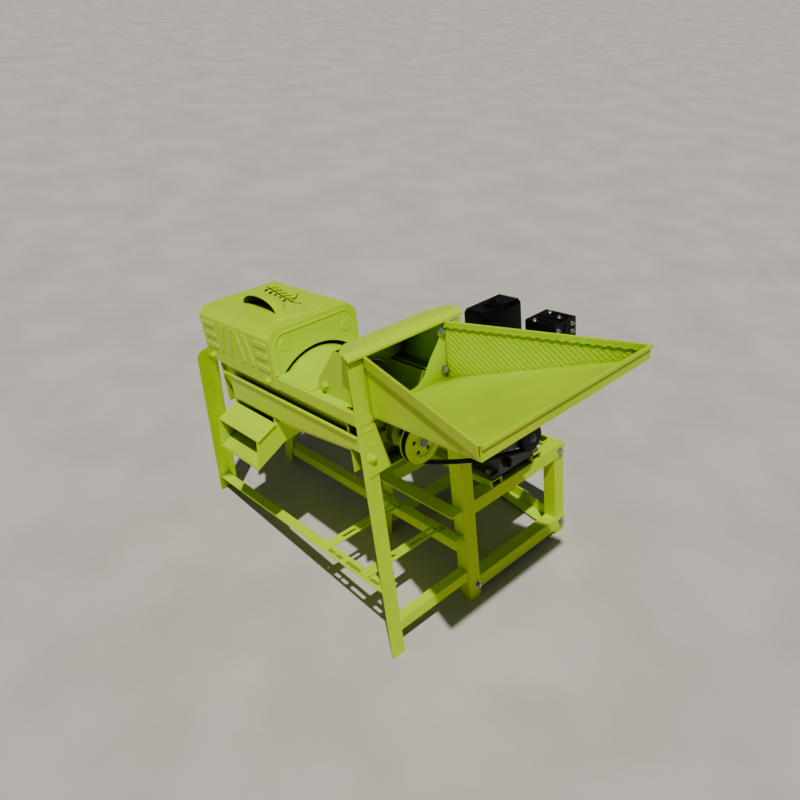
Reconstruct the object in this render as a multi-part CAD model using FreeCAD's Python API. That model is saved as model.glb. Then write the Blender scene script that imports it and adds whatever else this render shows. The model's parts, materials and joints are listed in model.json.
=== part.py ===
import FreeCAD, Part
import math
import os

os.makedirs("parts", exist_ok=True)
V = FreeCAD.Vector

# A petrol-engined corn sheller. Millimetres and degrees.
# The machine is drawn in its own body frame: the origin is the foot of the feed-end outer leg,
# +X runs to the feed hopper, -X to the cob outlet, +Y to the engine, +Z up along the feed-end legs.
# The finished pieces are then tilted, so that the outlet end hangs lower, and stood on the ground.

# Stance
body_tilt = 11.2
seat_gap = 0.3
overrun = 80.0
reach = 2000.0

# Rolled steel angle and sheet
leg_flange = 40.0
rail_flange = 30.0
steel = 4.0
sheet = 2.0
plate = 3.0
slot_width = 10.0

# Sheller frame
body_width = 278.0
body_length = 793.6
leg_top = 812.0
inner_leg_front = 5.0
lower_rail_top = 217.0
upper_rail_drop = 114.0
cross_rail_top = 101.5
outlet_leg_drop = 8.0
outlet_leg_splay = 0.29
outlet_leg_round = 24.0
lower_slot_centre_shares = (0.321, 0.280, 0.2405, 0.166, 0.06)
lower_slot_length_shares = (0.030, 0.033, 0.035, 0.078, 0.041)
upper_slot_centre_share = 0.04
upper_slot_length_share = 0.03
motor_bar_front_shares = (0.292, 0.086)
motor_bar_inset = 5.0
motor_slot_start_shares = (0.23, 0.58, 0.78)
motor_slot_length_share = 0.17

# Engine stand
stand_depth = 416.0
stand_top = 308.0
stand_foot_top = 61.0
stand_rear_x = -366.0
stand_sill_clear = 8.0
inner_rail_drop = 8.0
engine_bar_width = 40.0
engine_bar_height = 21.0
engine_bar_wall = 3.0
engine_slot_length = 34.0

# Drum housing. It is narrower than the frame, and its heights follow the upper rails.
housing_inset = 21.0
outlet_room = 193.6
drum_drop = 105.0
rear_plate_drop = 48.0
front_plate_drop = 53.0
plate_hole_r = 22.0
cob_notch_half = 78.0
cob_notch_rise = 52.0
feed_notch_half = 100.0
cover_r = 138.0
cover_lap = 18.0
cover_foot = 32.0
concave_r = 72.0
concave_bar_r = 4.0
concave_bars = 12
housing_wall_room = 14.0
housing_wall_lap = 2.5

# Grain trough and spout
trough_drop = 55.0
trough_depth = 135.0
trough_wall_rear = 70.0
trough_wall_mid = 66.0
trough_wall_front = 38.0
trough_rear_in = 44.0
trough_flange_in = 10.0
trough_return_in = 8.0
trough_return_drop = 13.0
trough_bed_width = 33.0
trough_flange = 6.0
spout_length = 192.0
spout_roof_drop = 16.0
spout_roof_fall = 26.0
spout_reach_top = 59.0
spout_reach_foot = 70.0
spout_foot_fall = 54.0
spout_foot_y = 17.0
spout_foot_drop = 10.0
spout_lip = 8.0

# Hood over the outlet half
hood_overhang = 48.0
hood_length = 343.0
hood_height = 114.0
hood_chamfer = 19.5
hood_foot = 16.0
hood_arch_gap = 11.0
hood_rib_raise = 3.0
hood_rib_shares = (0.31, 0.435, 0.565, 0.69)
hood_rib_width = 13.0
hood_rib_top_share = 0.80
hood_rib_bottom_share = 0.28
hood_rib_lean = 12.0
hood_dent_shares = (0.13, 0.87)
hood_dent_row_shares = (0.32, 0.53, 0.74)
hood_dent_length = 56.0
hood_dent_height = 12.0
grip_centre_share = 0.505
grip_half_length = 80.0
grip_depth = 62.0
grip_rise = 34.0
grip_y = 83.0
grip_seam_turn = -90.0
grip_pole_lean = 30.0
vent_spine_length = 184.0
vent_spine_width = 5.0
vent_spine_in = 78.0
vent_spine_back = 56.0
vent_turn = -11.0
vent_pairs = 5
vent_length = 27.0
vent_width = 10.0
vent_splay = 38.0
vent_reach = 12.0

# Feed head
throat_border = 6.0
throat_depth = 127.0
throat_half_shares = (1.0, 0.77, 0.54, 0.31)
throat_height_shares = (1.0, 0.605, 0.36, 0.085)
throat_plate_border = 26.0
head_side_y = 26.0
head_foot_x = -168.0
head_knee_x = -160.0
head_knee_rise = 29.0
head_shoulder_x = -84.0
head_front_x = -42.0
strip_front = 8.0
strip_back = -78.0
strip_lip = 6.0
strip_crown_rise = 16.0
strip_crown_front = -6.0
strip_crown_back = -32.0
strip_back_rise = 4.0
strip_side = 4.0
strip_far_corner_x = 46.0
strip_far_corner_y = 44.0
strip_near_corner_x = 62.0
strip_near_corner_y = 60.0

# Hopper
hopper_rim_rise = 5.0
hopper_length = 424.0
hopper_throat_depth = 139.0
hopper_lip_depth = 29.0
hopper_near_gap = 5.0
hopper_near_flare = 113.0
hopper_far_gap = 7.0
hopper_far_flare = 128.0
hopper_hem = 12.0
hopper_hem_outer = 24.0
hopper_flange = 7.0
hopper_hem_gap = 2.0
hopper_tab = 22.0

# Gusset on the outer feed leg, as places across the leg and down it
gusset_drop = 149.0
gusset_height = 126.0
gusset_top_near = 5.0
gusset_top_far = 44.0
gusset_foot_near = 11.0
gusset_foot_far = 74.0
gusset_boss_y = 24.0
gusset_boss_drop = 78.0
gusset_boss_r = 13.0
gusset_boss_raise = 2.0

# Rotor
shaft_r = 10.0
shaft_rear_out = 40.0
drum_r = 36.0
drum_rear_gap = 12.0
drum_front_gap = 32.0
drum_wall = 4.0
bar_height = 16.0
bar_width = 9.0
bar_count = 4
peg_r = 6.0
peg_count = 8
peg_height = 18.0
pulley_rear_x = 34.0
pulley_width = 22.0
pulley_r = 50.0
pulley_rim = 9.0
pulley_dish = 3.0
pulley_hub_r = 15.0
pulley_hole_r = 5.0
pulley_hole_pitch_r = 25.0
pulley_hole_count = 5
bearing_r = 31.0
bearing_length = 26.0
bearing_flange_half = 56.0
bearing_flange_r = 14.0
bearing_flange = 9.0
bearing_bore_gap = 0.05

# Belt and engine pulley
engine_pulley_r = 37.0
belt_width = 13.0
belt_depth = 8.0
belt_sag = 14.0
belt_float = 0.4

# Engine, placed by its crankshaft and its front face
crank_offset = 213.0
crank_height = 106.0
engine_front_x = -4.0
engine_length = 126.0
crank_shaft_r = 10.0
base_half = 95.0
base_thick = 10.0
case_half = 66.0
case_height = 172.0
case_round = 12.0
mount_hole_r = 4.5
mount_hole_half = 81.0
mount_hole_front = 22.0
mount_hole_pitch = 75.5
side_cover_r = 58.0
side_cover_thick = 10.0
side_boss_r = 24.0
side_boss_thick = 8.0
cylinder_rise = 25.0
cylinder_start = 58.0
cylinder_end = 160.0
cylinder_half = 48.0
cylinder_core = 38.0
cylinder_margin = 10.0
fin_count = 9
fin_thick = 3.0
rocker_depth = 38.0
rocker_half = 34.0
rocker_margin = 22.0
rocker_round = 8.0
shroud_r = 104.0
shroud_depth = 62.0
shroud_wall = 2.0
recoil_r = 82.0
recoil_depth = 40.0
recoil_hub_r = 26.0
recoil_hub_depth = 5.0
recoil_vents = 12
recoil_vent_length = 24.0
recoil_vent_width = 7.0
tank_front_in = 18.0
tank_length = 205.0
tank_near_out = 149.0
tank_width = 154.0
tank_rise = 229.0
tank_height = 98.0
tank_round = 20.0
tank_post = 24.0
filler_r = 22.0
filler_height = 8.0
cap_r = 29.0
cap_height = 18.0
cap_lip = 4.0
cleaner_front_in = 149.0
cleaner_length = 86.0
cleaner_out = 72.0
cleaner_width = 154.0
cleaner_rise = 269.0
cleaner_height = 106.0
cleaner_round = 14.0
cleaner_base_height = 34.0
cleaner_dome_r = 26.0
cleaner_dome_rise = 5.0
knob_r = 8.0
knob_height = 5.0
knob_ear = 13.0
knob_ear_thick = 3.0
carb_in = 120.0
carb_length = 34.0
carb_out = 121.0
carb_width = 40.0
carb_rise = 216.0
carb_height = 44.0
bowl_r = 17.0
bowl_height = 22.0
elbow_r = 20.0
muffler_front_out = 12.0
muffler_length = 96.0
muffler_out = 146.0
muffler_width = 113.0
muffler_rise = 257.0
muffler_height = 92.0
muffler_round = 16.0
muffler_neck_r = 16.0
muffler_band = 5.0
muffler_band_raise = 2.0
tail_pipe_r = 10.0
tail_pipe_length = 24.0
plug_r = 10.0
plug_length = 58.0
plug_cap_r = 14.0
plug_cap_length = 34.0
oil_cap_r = 15.0
oil_cap_height = 16.0
oil_cap_drop = 66.0
oil_cap_side = 48.0
lever_thick = 3.0
lever_width = 9.0
lever_length = 44.0
lever_pivot_r = 7.0
lever_grip_r = 6.0
choke_out = 84.0
valve_out = 24.0
throttle_in = 161.0
throttle_out = 52.0
throttle_rise = 14.0
switch_out = 58.0
switch_up = 84.0
switch_r = 15.0
switch_depth = 12.0
switch_bar = 5.0
recoil_grip_length = 96.0
recoil_grip_r = 10.0
recoil_guide_r = 9.0
recoil_guide_length = 12.0
recoil_guide_offset = 46.0

# Fasteners
bolt_r = 4.0
bolt_head_r = 8.0
bolt_head = 6.0
washer_r = 11.0
washer_thick = 2.0
cover_bolt_in = 26.7
hood_bolt_shares = (0.1, 0.9)
hopper_bolt_edge = 9.0
stand_bolt_share = 0.75

# Frame places worked out from the sizes above
tilt = math.radians(body_tilt)
outlet_leg_x = -body_length
upper_rail_top = leg_top - upper_rail_drop
outlet_leg_top = upper_rail_top - outlet_leg_drop
outlet_flange_slope = (rail_flange - steel) / (outlet_leg_top - lower_rail_top)
stand_width = body_width + stand_depth
stand_front_x = inner_leg_front - steel
engine_stand_leg_x = stand_front_x - steel
stand_rear_top_x = (stand_rear_x + (stand_top - steel) * math.sin(tilt)) / math.cos(tilt)

# Housing places
housing_width = body_width - housing_inset
drum_y = housing_width / 2
drum_z = upper_rail_top - drum_drop
front_plate_x = -leg_flange
rear_plate_x = outlet_leg_x + outlet_room
housing_wall_far = housing_width - housing_wall_room
cover_front_x = head_foot_x + cover_lap
cover_rear_x = rear_plate_x + plate
trough_top = upper_rail_top - trough_drop
trough_knee_rear = trough_top - trough_wall_rear
trough_knee_mid = trough_top - trough_wall_mid
trough_knee_front = trough_top - trough_wall_front
trough_bed = trough_top - trough_depth
trough_bed_start = (housing_width - trough_bed_width) / 2
trough_rear_x = rear_plate_x + trough_rear_in
trough_mid_x = rear_plate_x / 2
spout_rear_x = trough_rear_x + sheet
spout_front_x = spout_rear_x + spout_length
spout_roof_in = trough_knee_rear - spout_roof_drop
spout_roof_out = spout_roof_in - spout_roof_fall
spout_foot_in = trough_bed - spout_foot_drop
spout_foot_out = trough_bed - spout_foot_fall
hood_rear_x = rear_plate_x - hood_overhang
hood_front_x = hood_rear_x + hood_length
hood_top = upper_rail_top + hood_height
hood_skirt_bottom = upper_rail_top - rail_flange
hopper_rim = leg_top + hopper_rim_rise
hopper_floor_in = hopper_rim - hopper_throat_depth
hopper_floor_out = hopper_rim - hopper_lip_depth
hopper_left_in = leg_flange + hopper_near_gap
hopper_left_out = hopper_left_in - hopper_near_flare
hopper_right_in = body_width - hopper_far_gap
hopper_right_out = hopper_right_in + hopper_far_flare
throat_centre = (leg_flange + body_width) / 2
throat_half = (body_width - leg_flange) / 2 - throat_border
throat_bottom = hopper_rim - throat_depth
head_knee_z = upper_rail_top + head_knee_rise
strip_lip_top = hopper_rim + strip_lip
strip_crown = hopper_rim + strip_crown_rise
strip_back_top = hopper_rim + strip_back_rise
gusset_top = leg_top - gusset_drop
gusset_bottom = gusset_top - gusset_height
gusset_boss_height = gusset_top - gusset_boss_drop
drum_rear_x = rear_plate_x + drum_rear_gap
drum_front_x = front_plate_x - drum_front_gap
pulley_front_x = pulley_rear_x + pulley_width
belt_x = pulley_rear_x + pulley_width / 2

# Engine places
crank_y = body_width + crank_offset
engine_base = stand_top + engine_bar_height
crank_z = engine_base + crank_height
engine_rear_x = engine_front_x - engine_length
bar_pitch_y = (crank_y - mount_hole_half, crank_y + mount_hole_half)
tank_front_x = engine_front_x - tank_front_in
tank_near_y = crank_y - tank_near_out
tank_far_y = tank_near_y + tank_width
tank_bottom = engine_base + tank_rise
cleaner_front_x = engine_front_x - cleaner_front_in
cleaner_rear_x = cleaner_front_x - cleaner_length
cleaner_near_y = crank_y + cleaner_out
cleaner_far_y = cleaner_near_y + cleaner_width
cleaner_bottom = engine_base + cleaner_rise
cleaner_top = cleaner_bottom + cleaner_height
carb_x = engine_front_x - carb_in
carb_y = crank_y + carb_out
carb_bottom = engine_base + carb_rise
muffler_front_x = engine_front_x + muffler_front_out
muffler_rear_x = muffler_front_x - muffler_length
muffler_near_y = crank_y + muffler_out
muffler_far_y = muffler_near_y + muffler_width
muffler_bottom = engine_base + muffler_rise
muffler_top = muffler_bottom + muffler_height
oil_cap_y = crank_y - oil_cap_side
oil_cap_z = crank_z - oil_cap_drop
control_x = carb_x - carb_length - elbow_r - lever_thick
control_z = carb_bottom + 2 * lever_pivot_r
throttle_x = engine_front_x - throttle_in
throttle_y = crank_y + throttle_out
throttle_z = crank_z + shroud_r + throttle_rise
switch_y = crank_y + switch_out
switch_z = crank_z + switch_up
parts = {}


# Shape helpers

def box(x0, x1, y0, y1, z0, z1):
    return Part.makeBox(x1 - x0, y1 - y0, z1 - z0, V(x0, y0, z0))


def place(axis, along, u, v):
    if axis == "x":
        return V(along, u, v)
    if axis == "y":
        return V(u, along, v)
    return V(u, v, along)


def prism(axis, points, start, end):
    corners = [place(axis, start, u, v) for u, v in points]
    face = Part.Face(Part.makePolygon(corners + [corners[0]]))
    return face.extrude(place(axis, end - start, 0, 0))


def rod(axis, u, v, radius, start, end):
    low = min(start, end)
    return Part.makeCylinder(radius, abs(end - start), place(axis, low, u, v), place(axis, 1, 0, 0))


def tube(axis, u, v, outer, inner, start, end):
    return rod(axis, u, v, outer, start, end).cut(rod(axis, u, v, inner, start - overrun, end + overrun))


def angle_points(u, v, du, dv, flange):
    steps = ((0, 0), (flange, 0), (flange, steel), (steel, steel), (steel, flange), (0, flange))
    return [(u + du * a, v + dv * b) for a, b in steps]


def angle_bar(axis, u, v, du, dv, flange, start, end):
    return prism(axis, angle_points(u, v, du, dv, flange), start, end)


def slot(axis, u, v, length, width, start, end, along_u=True):
    half = length / 2 - width / 2
    du, dv = (half, 0) if along_u else (0, half)
    ends = [rod(axis, u + s * du, v + s * dv, width / 2, start, end) for s in (-1, 1)]
    grow_u, grow_v = (half, width / 2) if along_u else (width / 2, half)
    corners = [(u + a * grow_u, v + b * grow_v) for a, b in ((-1, -1), (1, -1), (1, 1), (-1, 1))]
    return prism(axis, corners, start, end).fuse(ends)


def level(shape):
    turned = shape.copy()
    turned.rotate(V(0, 0, 0), V(0, 1, 0), body_tilt)
    return turned


def above_ground(shape):
    return shape.cut(level(box(-reach, reach, -reach, reach, -reach, 0)))


def rounded(shape, radius, keep):
    edges = [edge for edge in shape.Edges if keep(edge)]
    return shape.makeFillet(radius, edges)


def runs_along(edge, axis):
    ends = [vertex.Point for vertex in edge.Vertexes]
    if len(ends) < 2:
        return False
    step = ends[1].sub(ends[0])
    return abs(step.normalize().dot(axis)) > 0.999


def hexagon(u, v):
    turns = [math.radians(360 * corner / 6) for corner in range(6)]
    return [(u + bolt_head_r * math.cos(turn), v + bolt_head_r * math.sin(turn)) for turn in turns]


def hex_bolt(axis, u, v, face, out, length):
    top = face + out * (washer_thick + bolt_head)
    head = prism(axis, hexagon(u, v), face + out * washer_thick, top)
    washer = rod(axis, u, v, washer_r, face, face + out * washer_thick)
    shank = rod(axis, u, v, bolt_r, face, face + out * (washer_thick + bolt_head + length))
    return head.fuse([washer, shank])


def save(name, *shapes):
    parts[name] = shapes[0] if len(shapes) == 1 else Part.Compound(list(shapes))


# Sheller frame

def feed_legs():
    outer = angle_bar("z", 0, leg_flange, -1, -1, leg_flange, -overrun, leg_top)
    inner = angle_bar("z", inner_leg_front, body_width, -1, 1, leg_flange, -overrun, leg_top)
    save("feed_leg_outer", above_ground(outer))
    save("feed_leg_inner", above_ground(inner))


def outlet_face(z):
    return outlet_leg_x + outlet_leg_splay * (z - lower_rail_top)


def outlet_flange(z):
    return steel + outlet_flange_slope * (outlet_leg_top - z)


def outlet_leg(mirror):
    start = -overrun
    rise = outlet_leg_top - start
    side = outlet_flange(start) + steel
    corner = body_width - side if mirror else side
    way = 1 if mirror else -1
    points = angle_points(outlet_face(start) - steel, corner, 1, way, leg_flange)
    corners = [V(x, y, start) for x, y in points]
    foot = Part.Face(Part.makePolygon(corners + [corners[0]]))
    leg = foot.extrude(V(outlet_leg_splay * rise, way * outlet_flange_slope * rise, rise))
    centre_z = outlet_leg_top - outlet_leg_round
    edge = outlet_flange(centre_z) + steel - leg_flange
    centre = edge + outlet_leg_round
    low, high = edge - steel, centre
    if mirror:
        centre = body_width - centre
        low, high = centre, body_width - low
    corner_block = box(-reach, reach, low, high, centre_z, outlet_leg_top + steel)
    return above_ground(leg.cut(corner_block.cut(rod("x", centre, centre_z, outlet_leg_round, -reach, reach))))


def inside_outlet_legs(shape):
    low, high = -overrun, leg_top
    points = ((outlet_face(low), low), (outlet_face(high), high), (-reach, high), (-reach, low))
    return shape.cut(prism("y", points, -reach, reach))


def body_rail(corner_y, way, top, front, flange):
    bar = angle_bar("x", corner_y, top, way, -1, flange, outlet_leg_x - overrun, front)
    return inside_outlet_legs(bar)


def body_rails():
    upper = body_rail(0, 1, upper_rail_top, -steel, rail_flange)
    upper_slot = slot("z", -upper_slot_centre_share * body_length, rail_flange / 2,
                      upper_slot_length_share * body_length, slot_width,
                      upper_rail_top - 2 * steel, upper_rail_top + steel)
    save("upper_rail_outer", upper.cut(upper_slot))
    save("upper_rail_inner", body_rail(body_width, -1, upper_rail_top, -steel, rail_flange))
    lower = body_rail(rail_flange, -1, lower_rail_top, -steel, rail_flange)
    for centre, length in zip(lower_slot_centre_shares, lower_slot_length_shares):
        lower = lower.cut(slot("z", -centre * body_length, (rail_flange - steel) / 2, length * body_length,
                               slot_width, lower_rail_top - 2 * steel, lower_rail_top + steel))
    save("lower_rail_outer", lower)
    save("lower_rail_inner", body_rail(body_width - rail_flange, 1, lower_rail_top, -steel, rail_flange))
    cross = angle_bar("y", 0, cross_rail_top, -1, -1, rail_flange, leg_flange, body_width)
    save("foot_cross_rail", cross)


def motor_bars():
    bars = []
    span = body_width - 2 * motor_bar_inset
    for share in motor_bar_front_shares:
        front = -share * body_length
        bar = box(front - rail_flange, front, motor_bar_inset, body_width - motor_bar_inset,
                  lower_rail_top, lower_rail_top + steel)
        for start in motor_slot_start_shares:
            centre = motor_bar_inset + (start + motor_slot_length_share / 2) * span
            bar = bar.cut(slot("z", front - rail_flange / 2, centre, motor_slot_length_share * span,
                               slot_width, lower_rail_top - steel, lower_rail_top + 2 * steel, False))
        bars.append(bar)
    save("motor_bars", *bars)


def leg_gusset():
    points = ((gusset_top_near, gusset_top), (gusset_top_far, gusset_top),
              (gusset_foot_far, gusset_bottom + steel), (gusset_foot_near, gusset_bottom))
    body = prism("x", points, 0, plate)
    boss = rod("x", gusset_boss_y, gusset_boss_height, gusset_boss_r, plate, plate + gusset_boss_raise)
    save("leg_gusset", body.fuse(boss).removeSplitter())


# Engine stand

def stand_legs():
    outer_y = stand_width - leg_flange
    front = angle_bar("z", engine_stand_leg_x, outer_y, -1, 1, leg_flange, -overrun, stand_top - steel)
    save("stand_leg_front", above_ground(front))
    rears = []
    for y, way in ((body_width, 1), (stand_width, -1)):
        leg = level(angle_bar("z", stand_rear_x, y, 1, way, leg_flange, 0, stand_top + overrun))
        rears.append(leg.cut(box(-reach, reach, -reach, reach, stand_top - steel, reach)))
    save("stand_legs_rear", *rears)


def stand_rails():
    start = body_width + steel
    end = stand_width - steel
    front = angle_bar("y", stand_front_x, stand_top, -1, -1, leg_flange, start, stand_width)
    rear = angle_bar("y", stand_rear_top_x + leg_flange, stand_top, -1, -1, leg_flange, start, end)
    save("stand_rails_top", front, rear)
    side = angle_bar("x", stand_width, stand_top, -1, -1, leg_flange,
                     stand_rear_top_x + leg_flange, stand_front_x - leg_flange)
    inner = angle_bar("x", body_width, stand_top - inner_rail_drop, -1, -1, leg_flange,
                      stand_rear_top_x, stand_front_x)
    save("stand_rails_side", side, inner)
    foot = angle_bar("y", stand_front_x, stand_foot_top, -1, -1, leg_flange, start, stand_width)
    notch = box(stand_front_x - leg_flange, engine_stand_leg_x, stand_width - leg_flange - seat_gap,
                stand_width, stand_foot_top - leg_flange - steel, stand_foot_top + steel)
    back = level(angle_bar("y", stand_rear_x + steel, stand_foot_top, 1, -1, leg_flange, start, end))
    save("stand_rails_foot", foot.cut(notch), back)
    sill = level(angle_bar("x", end, stand_sill_clear, -1, 1, leg_flange, stand_rear_x + 2 * steel, 0))
    leg_back = engine_stand_leg_x - leg_flange
    save("stand_sill_outer", sill.cut(box(leg_back, reach, 0, reach, -reach, reach)))


def engine_bars():
    bars = []
    for centre in bar_pitch_y:
        half = engine_bar_width / 2
        top = stand_top + engine_bar_height
        bar = box(stand_rear_top_x, stand_front_x, centre - half, centre + half, stand_top, top)
        inner = half - engine_bar_wall
        hollow = box(-reach, reach, centre - inner, centre + inner, stand_top - steel, top - engine_bar_wall)
        bar = bar.cut(hollow)
        for step in (0, mount_hole_pitch):
            x = engine_front_x - mount_hole_front - step
            bar = bar.cut(slot("z", x, centre, engine_slot_length, slot_width, stand_top, top + steel))
        bars.append(bar)
    save("engine_bars", *bars)


# Drum housing

def end_plates():
    near, far = steel, body_width - steel
    under_rail = upper_rail_top - steel
    front_foot = drum_z - front_plate_drop
    front = box(front_plate_x - plate, front_plate_x, near, far, front_foot, under_rail)
    ledge = box(front_plate_x - plate, 0, leg_flange, body_width - seat_gap, front_foot - plate, front_foot)
    cheek = rod("x", drum_y, drum_z, concave_r + plate, front_plate_x - plate, front_plate_x)
    hole = rod("x", drum_y, drum_z, plate_hole_r, -reach, reach)
    low, high = drum_y - feed_notch_half, drum_y + feed_notch_half
    notch = box(-reach, reach, low, high, drum_z + cob_notch_rise, reach)
    save("end_plate_front", front.fuse([ledge, cheek]).cut(hole).cut(notch).removeSplitter())
    rear = box(rear_plate_x - plate, rear_plate_x, near, far, drum_z - rear_plate_drop, under_rail)
    cheek = rod("x", drum_y, drum_z, concave_r + plate, rear_plate_x - plate, rear_plate_x)
    notch = box(-reach, reach, drum_y - cob_notch_half, drum_y + cob_notch_half, drum_z + cob_notch_rise, reach)
    save("end_plate_rear", rear.fuse(cheek).cut(hole).cut(notch).removeSplitter())


def bearing(face, out):
    body = rod("x", drum_y, drum_z, bearing_r, face, face + out * bearing_length)
    flange = rod("x", drum_y, drum_z, bearing_r + bearing_flange / 2, face, face + out * bearing_flange)
    low, high = sorted((face, face + out * bearing_flange))
    for side in (-1, 1):
        ear = rod("x", drum_y + side * bearing_flange_half, drum_z, bearing_flange_r,
                  face, face + out * bearing_flange)
        near, far = sorted((drum_y, drum_y + side * bearing_flange_half))
        web = box(low, high, near, far, drum_z - bearing_flange_r, drum_z + bearing_flange_r)
        flange = flange.fuse([ear, web])
    bore = rod("x", drum_y, drum_z, shaft_r + bearing_bore_gap, -reach, reach)
    return body.fuse(flange).cut(bore).removeSplitter()


def drum_bearings():
    save("drum_bearings", bearing(front_plate_x, 1), bearing(rear_plate_x - plate, -1))


def drum_cover():
    shell = tube("x", drum_y, drum_z, cover_r, cover_r - sheet, cover_rear_x, cover_front_x)
    cap = shell.common(box(-reach, reach, -reach, reach, upper_rail_top, reach))
    half = math.sqrt(cover_r ** 2 - (upper_rail_top - drum_z) ** 2)
    foot_end = head_foot_x - sheet
    near = box(cover_rear_x, foot_end, drum_y - half - cover_foot, drum_y - half + sheet,
               upper_rail_top, upper_rail_top + sheet)
    far = box(cover_rear_x, foot_end, drum_y + half - sheet, housing_width - sheet - seat_gap,
              upper_rail_top, upper_rail_top + sheet)
    save("drum_cover", cap.fuse([near, far]).removeSplitter())


# The concave is a cradle of round bars under the drum, set into the end plates. A strip and a wall along
# each side close the space up to the rails, and the far wall has a flange to reach its rail.
def concave():
    front, rear = front_plate_x - plate, rear_plate_x
    ring = concave_r - concave_bar_r
    pieces = []
    for step in range(concave_bars):
        turn = math.pi * (step + 1 / 2) / concave_bars
        pieces.append(rod("x", drum_y - ring * math.cos(turn), drum_z - ring * math.sin(turn),
                          concave_bar_r, rear, front))
    near, far = drum_y - concave_r, drum_y + concave_r
    under_rail = upper_rail_top - steel
    pieces.append(box(rear, front, housing_wall_room, near + sheet, drum_z - sheet, drum_z))
    pieces.append(box(rear, front, far - sheet, housing_wall_far, drum_z - sheet, drum_z))
    pieces.append(box(rear, front, housing_wall_room, housing_wall_room + sheet, drum_z, under_rail))
    pieces.append(box(rear, front, housing_wall_far - sheet, housing_wall_far, drum_z, under_rail))
    pieces.append(box(rear, front, housing_wall_far, body_width - rail_flange + housing_wall_lap,
                      under_rail - sheet, under_rail))
    save("concave_grate", *pieces)


def trough_section(x, knee):
    drop = knee - trough_return_drop
    inside = housing_width - trough_return_in
    far_bed = housing_width - trough_bed_start
    outer = [(0, trough_top), (0, knee), (trough_return_in, drop), (trough_bed_start, trough_bed),
             (far_bed, trough_bed), (inside, drop), (housing_width, knee), (housing_width, trough_top)]
    inner = [(housing_width - sheet, trough_top), (housing_width - sheet, knee + sheet / 2),
             (inside - sheet, drop + sheet), (far_bed - sheet / 2, trough_bed + sheet),
             (trough_bed_start + sheet / 2, trough_bed + sheet), (trough_return_in + sheet, drop + sheet),
             (sheet, knee + sheet / 2), (sheet, trough_top)]
    points = [V(x, y, z) for y, z in outer + inner]
    return Part.makePolygon(points + [points[0]])


def grain_trough():
    front = front_plate_x - plate - seat_gap
    sections = [trough_section(trough_rear_x, trough_knee_rear), trough_section(trough_mid_x, trough_knee_mid),
                trough_section(front, trough_knee_front)]
    shell = Part.makeLoft(sections, True, True)
    mouth = box(spout_rear_x, spout_front_x, -trough_flange, trough_bed_start,
                trough_bed - steel, spout_roof_in)
    skin = box(front, -steel, 0, sheet, trough_knee_front, trough_top)
    flange_rear = rear_plate_x + trough_flange_in
    near = box(flange_rear, -steel, -trough_flange, sheet, trough_top - sheet, trough_top)
    far = box(flange_rear, front, housing_width - sheet, housing_width + trough_flange,
              trough_top - sheet, trough_top)
    body = shell.cut(mouth).fuse([skin, near, far, trough_stop()])
    save("grain_trough", body.removeSplitter())


# The end stop closes the trough below the concave and goes round its bars.
def trough_stop():
    top = drum_z - sheet - seat_gap
    elbow = trough_knee_rear - trough_return_drop + sheet
    fold = trough_return_in + sheet
    points = ((sheet, top), (sheet, trough_knee_rear), (fold, elbow), (trough_bed_start, trough_bed + sheet),
              (housing_width - trough_bed_start, trough_bed + sheet), (housing_width - fold, elbow),
              (housing_width - sheet, trough_knee_rear), (housing_width - sheet, top))
    stop = prism("x", points, trough_rear_x, trough_rear_x + sheet)
    return stop.cut(rod("x", drum_y, drum_z, concave_r + seat_gap, -reach, reach))


def spout():
    slope = ((trough_bed_start, trough_bed - seat_gap), (spout_foot_y, spout_foot_in),
             (-spout_reach_foot, spout_foot_out))
    under = [(y, z - sheet) for y, z in reversed(slope)]
    bed = prism("x", list(slope) + under, spout_rear_x, spout_front_x)
    roof = prism("x", ((-seat_gap, spout_roof_in), (-spout_reach_top, spout_roof_out),
                       (-spout_reach_top, spout_roof_out - sheet), (-seat_gap, spout_roof_in - sheet)),
                 spout_rear_x, spout_front_x)
    lip = box(spout_rear_x, spout_front_x, -spout_reach_foot - sheet, -spout_reach_foot,
              spout_foot_out - sheet, spout_foot_out + spout_lip / 2)
    drop = trough_knee_rear - trough_return_drop
    cheeks = []
    for start in (spout_rear_x - sheet, spout_front_x):
        cheek = prism("x", ((-seat_gap, spout_roof_in), (-spout_reach_top, spout_roof_out),
                            (-spout_reach_foot - sheet, spout_foot_out),
                            (-spout_reach_foot, spout_foot_out - sheet),
                            (spout_foot_y, spout_foot_in - sheet), (trough_bed_start, trough_bed - sheet),
                            (trough_return_in, drop - sheet), (-seat_gap, trough_knee_rear - sheet)),
                      start, start + sheet)
        cheeks.append(cheek)
    hem = box(spout_front_x, spout_front_x + spout_lip, -spout_reach_top, -seat_gap,
              spout_roof_out - sheet, spout_roof_in + sheet)
    wedge = prism("x", ((-seat_gap, spout_roof_in), (-spout_reach_top, spout_roof_out),
                        (-spout_reach_top, spout_roof_out - sheet), (-seat_gap, spout_roof_in - sheet)),
                  spout_front_x, spout_front_x + spout_lip)
    save("grain_spout", bed.fuse([roof, lip] + cheeks + [hem.common(wedge)]).removeSplitter())


# Hood

def hood_outline(inset):
    side = hood_chamfer
    near, far = -sheet + inset, housing_width - inset
    top = hood_top - inset
    low = upper_rail_top
    return [(near, low), (near, top - side), (near + side, top),
            (far - side, top), (far, top - side), (far, low)]


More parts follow.
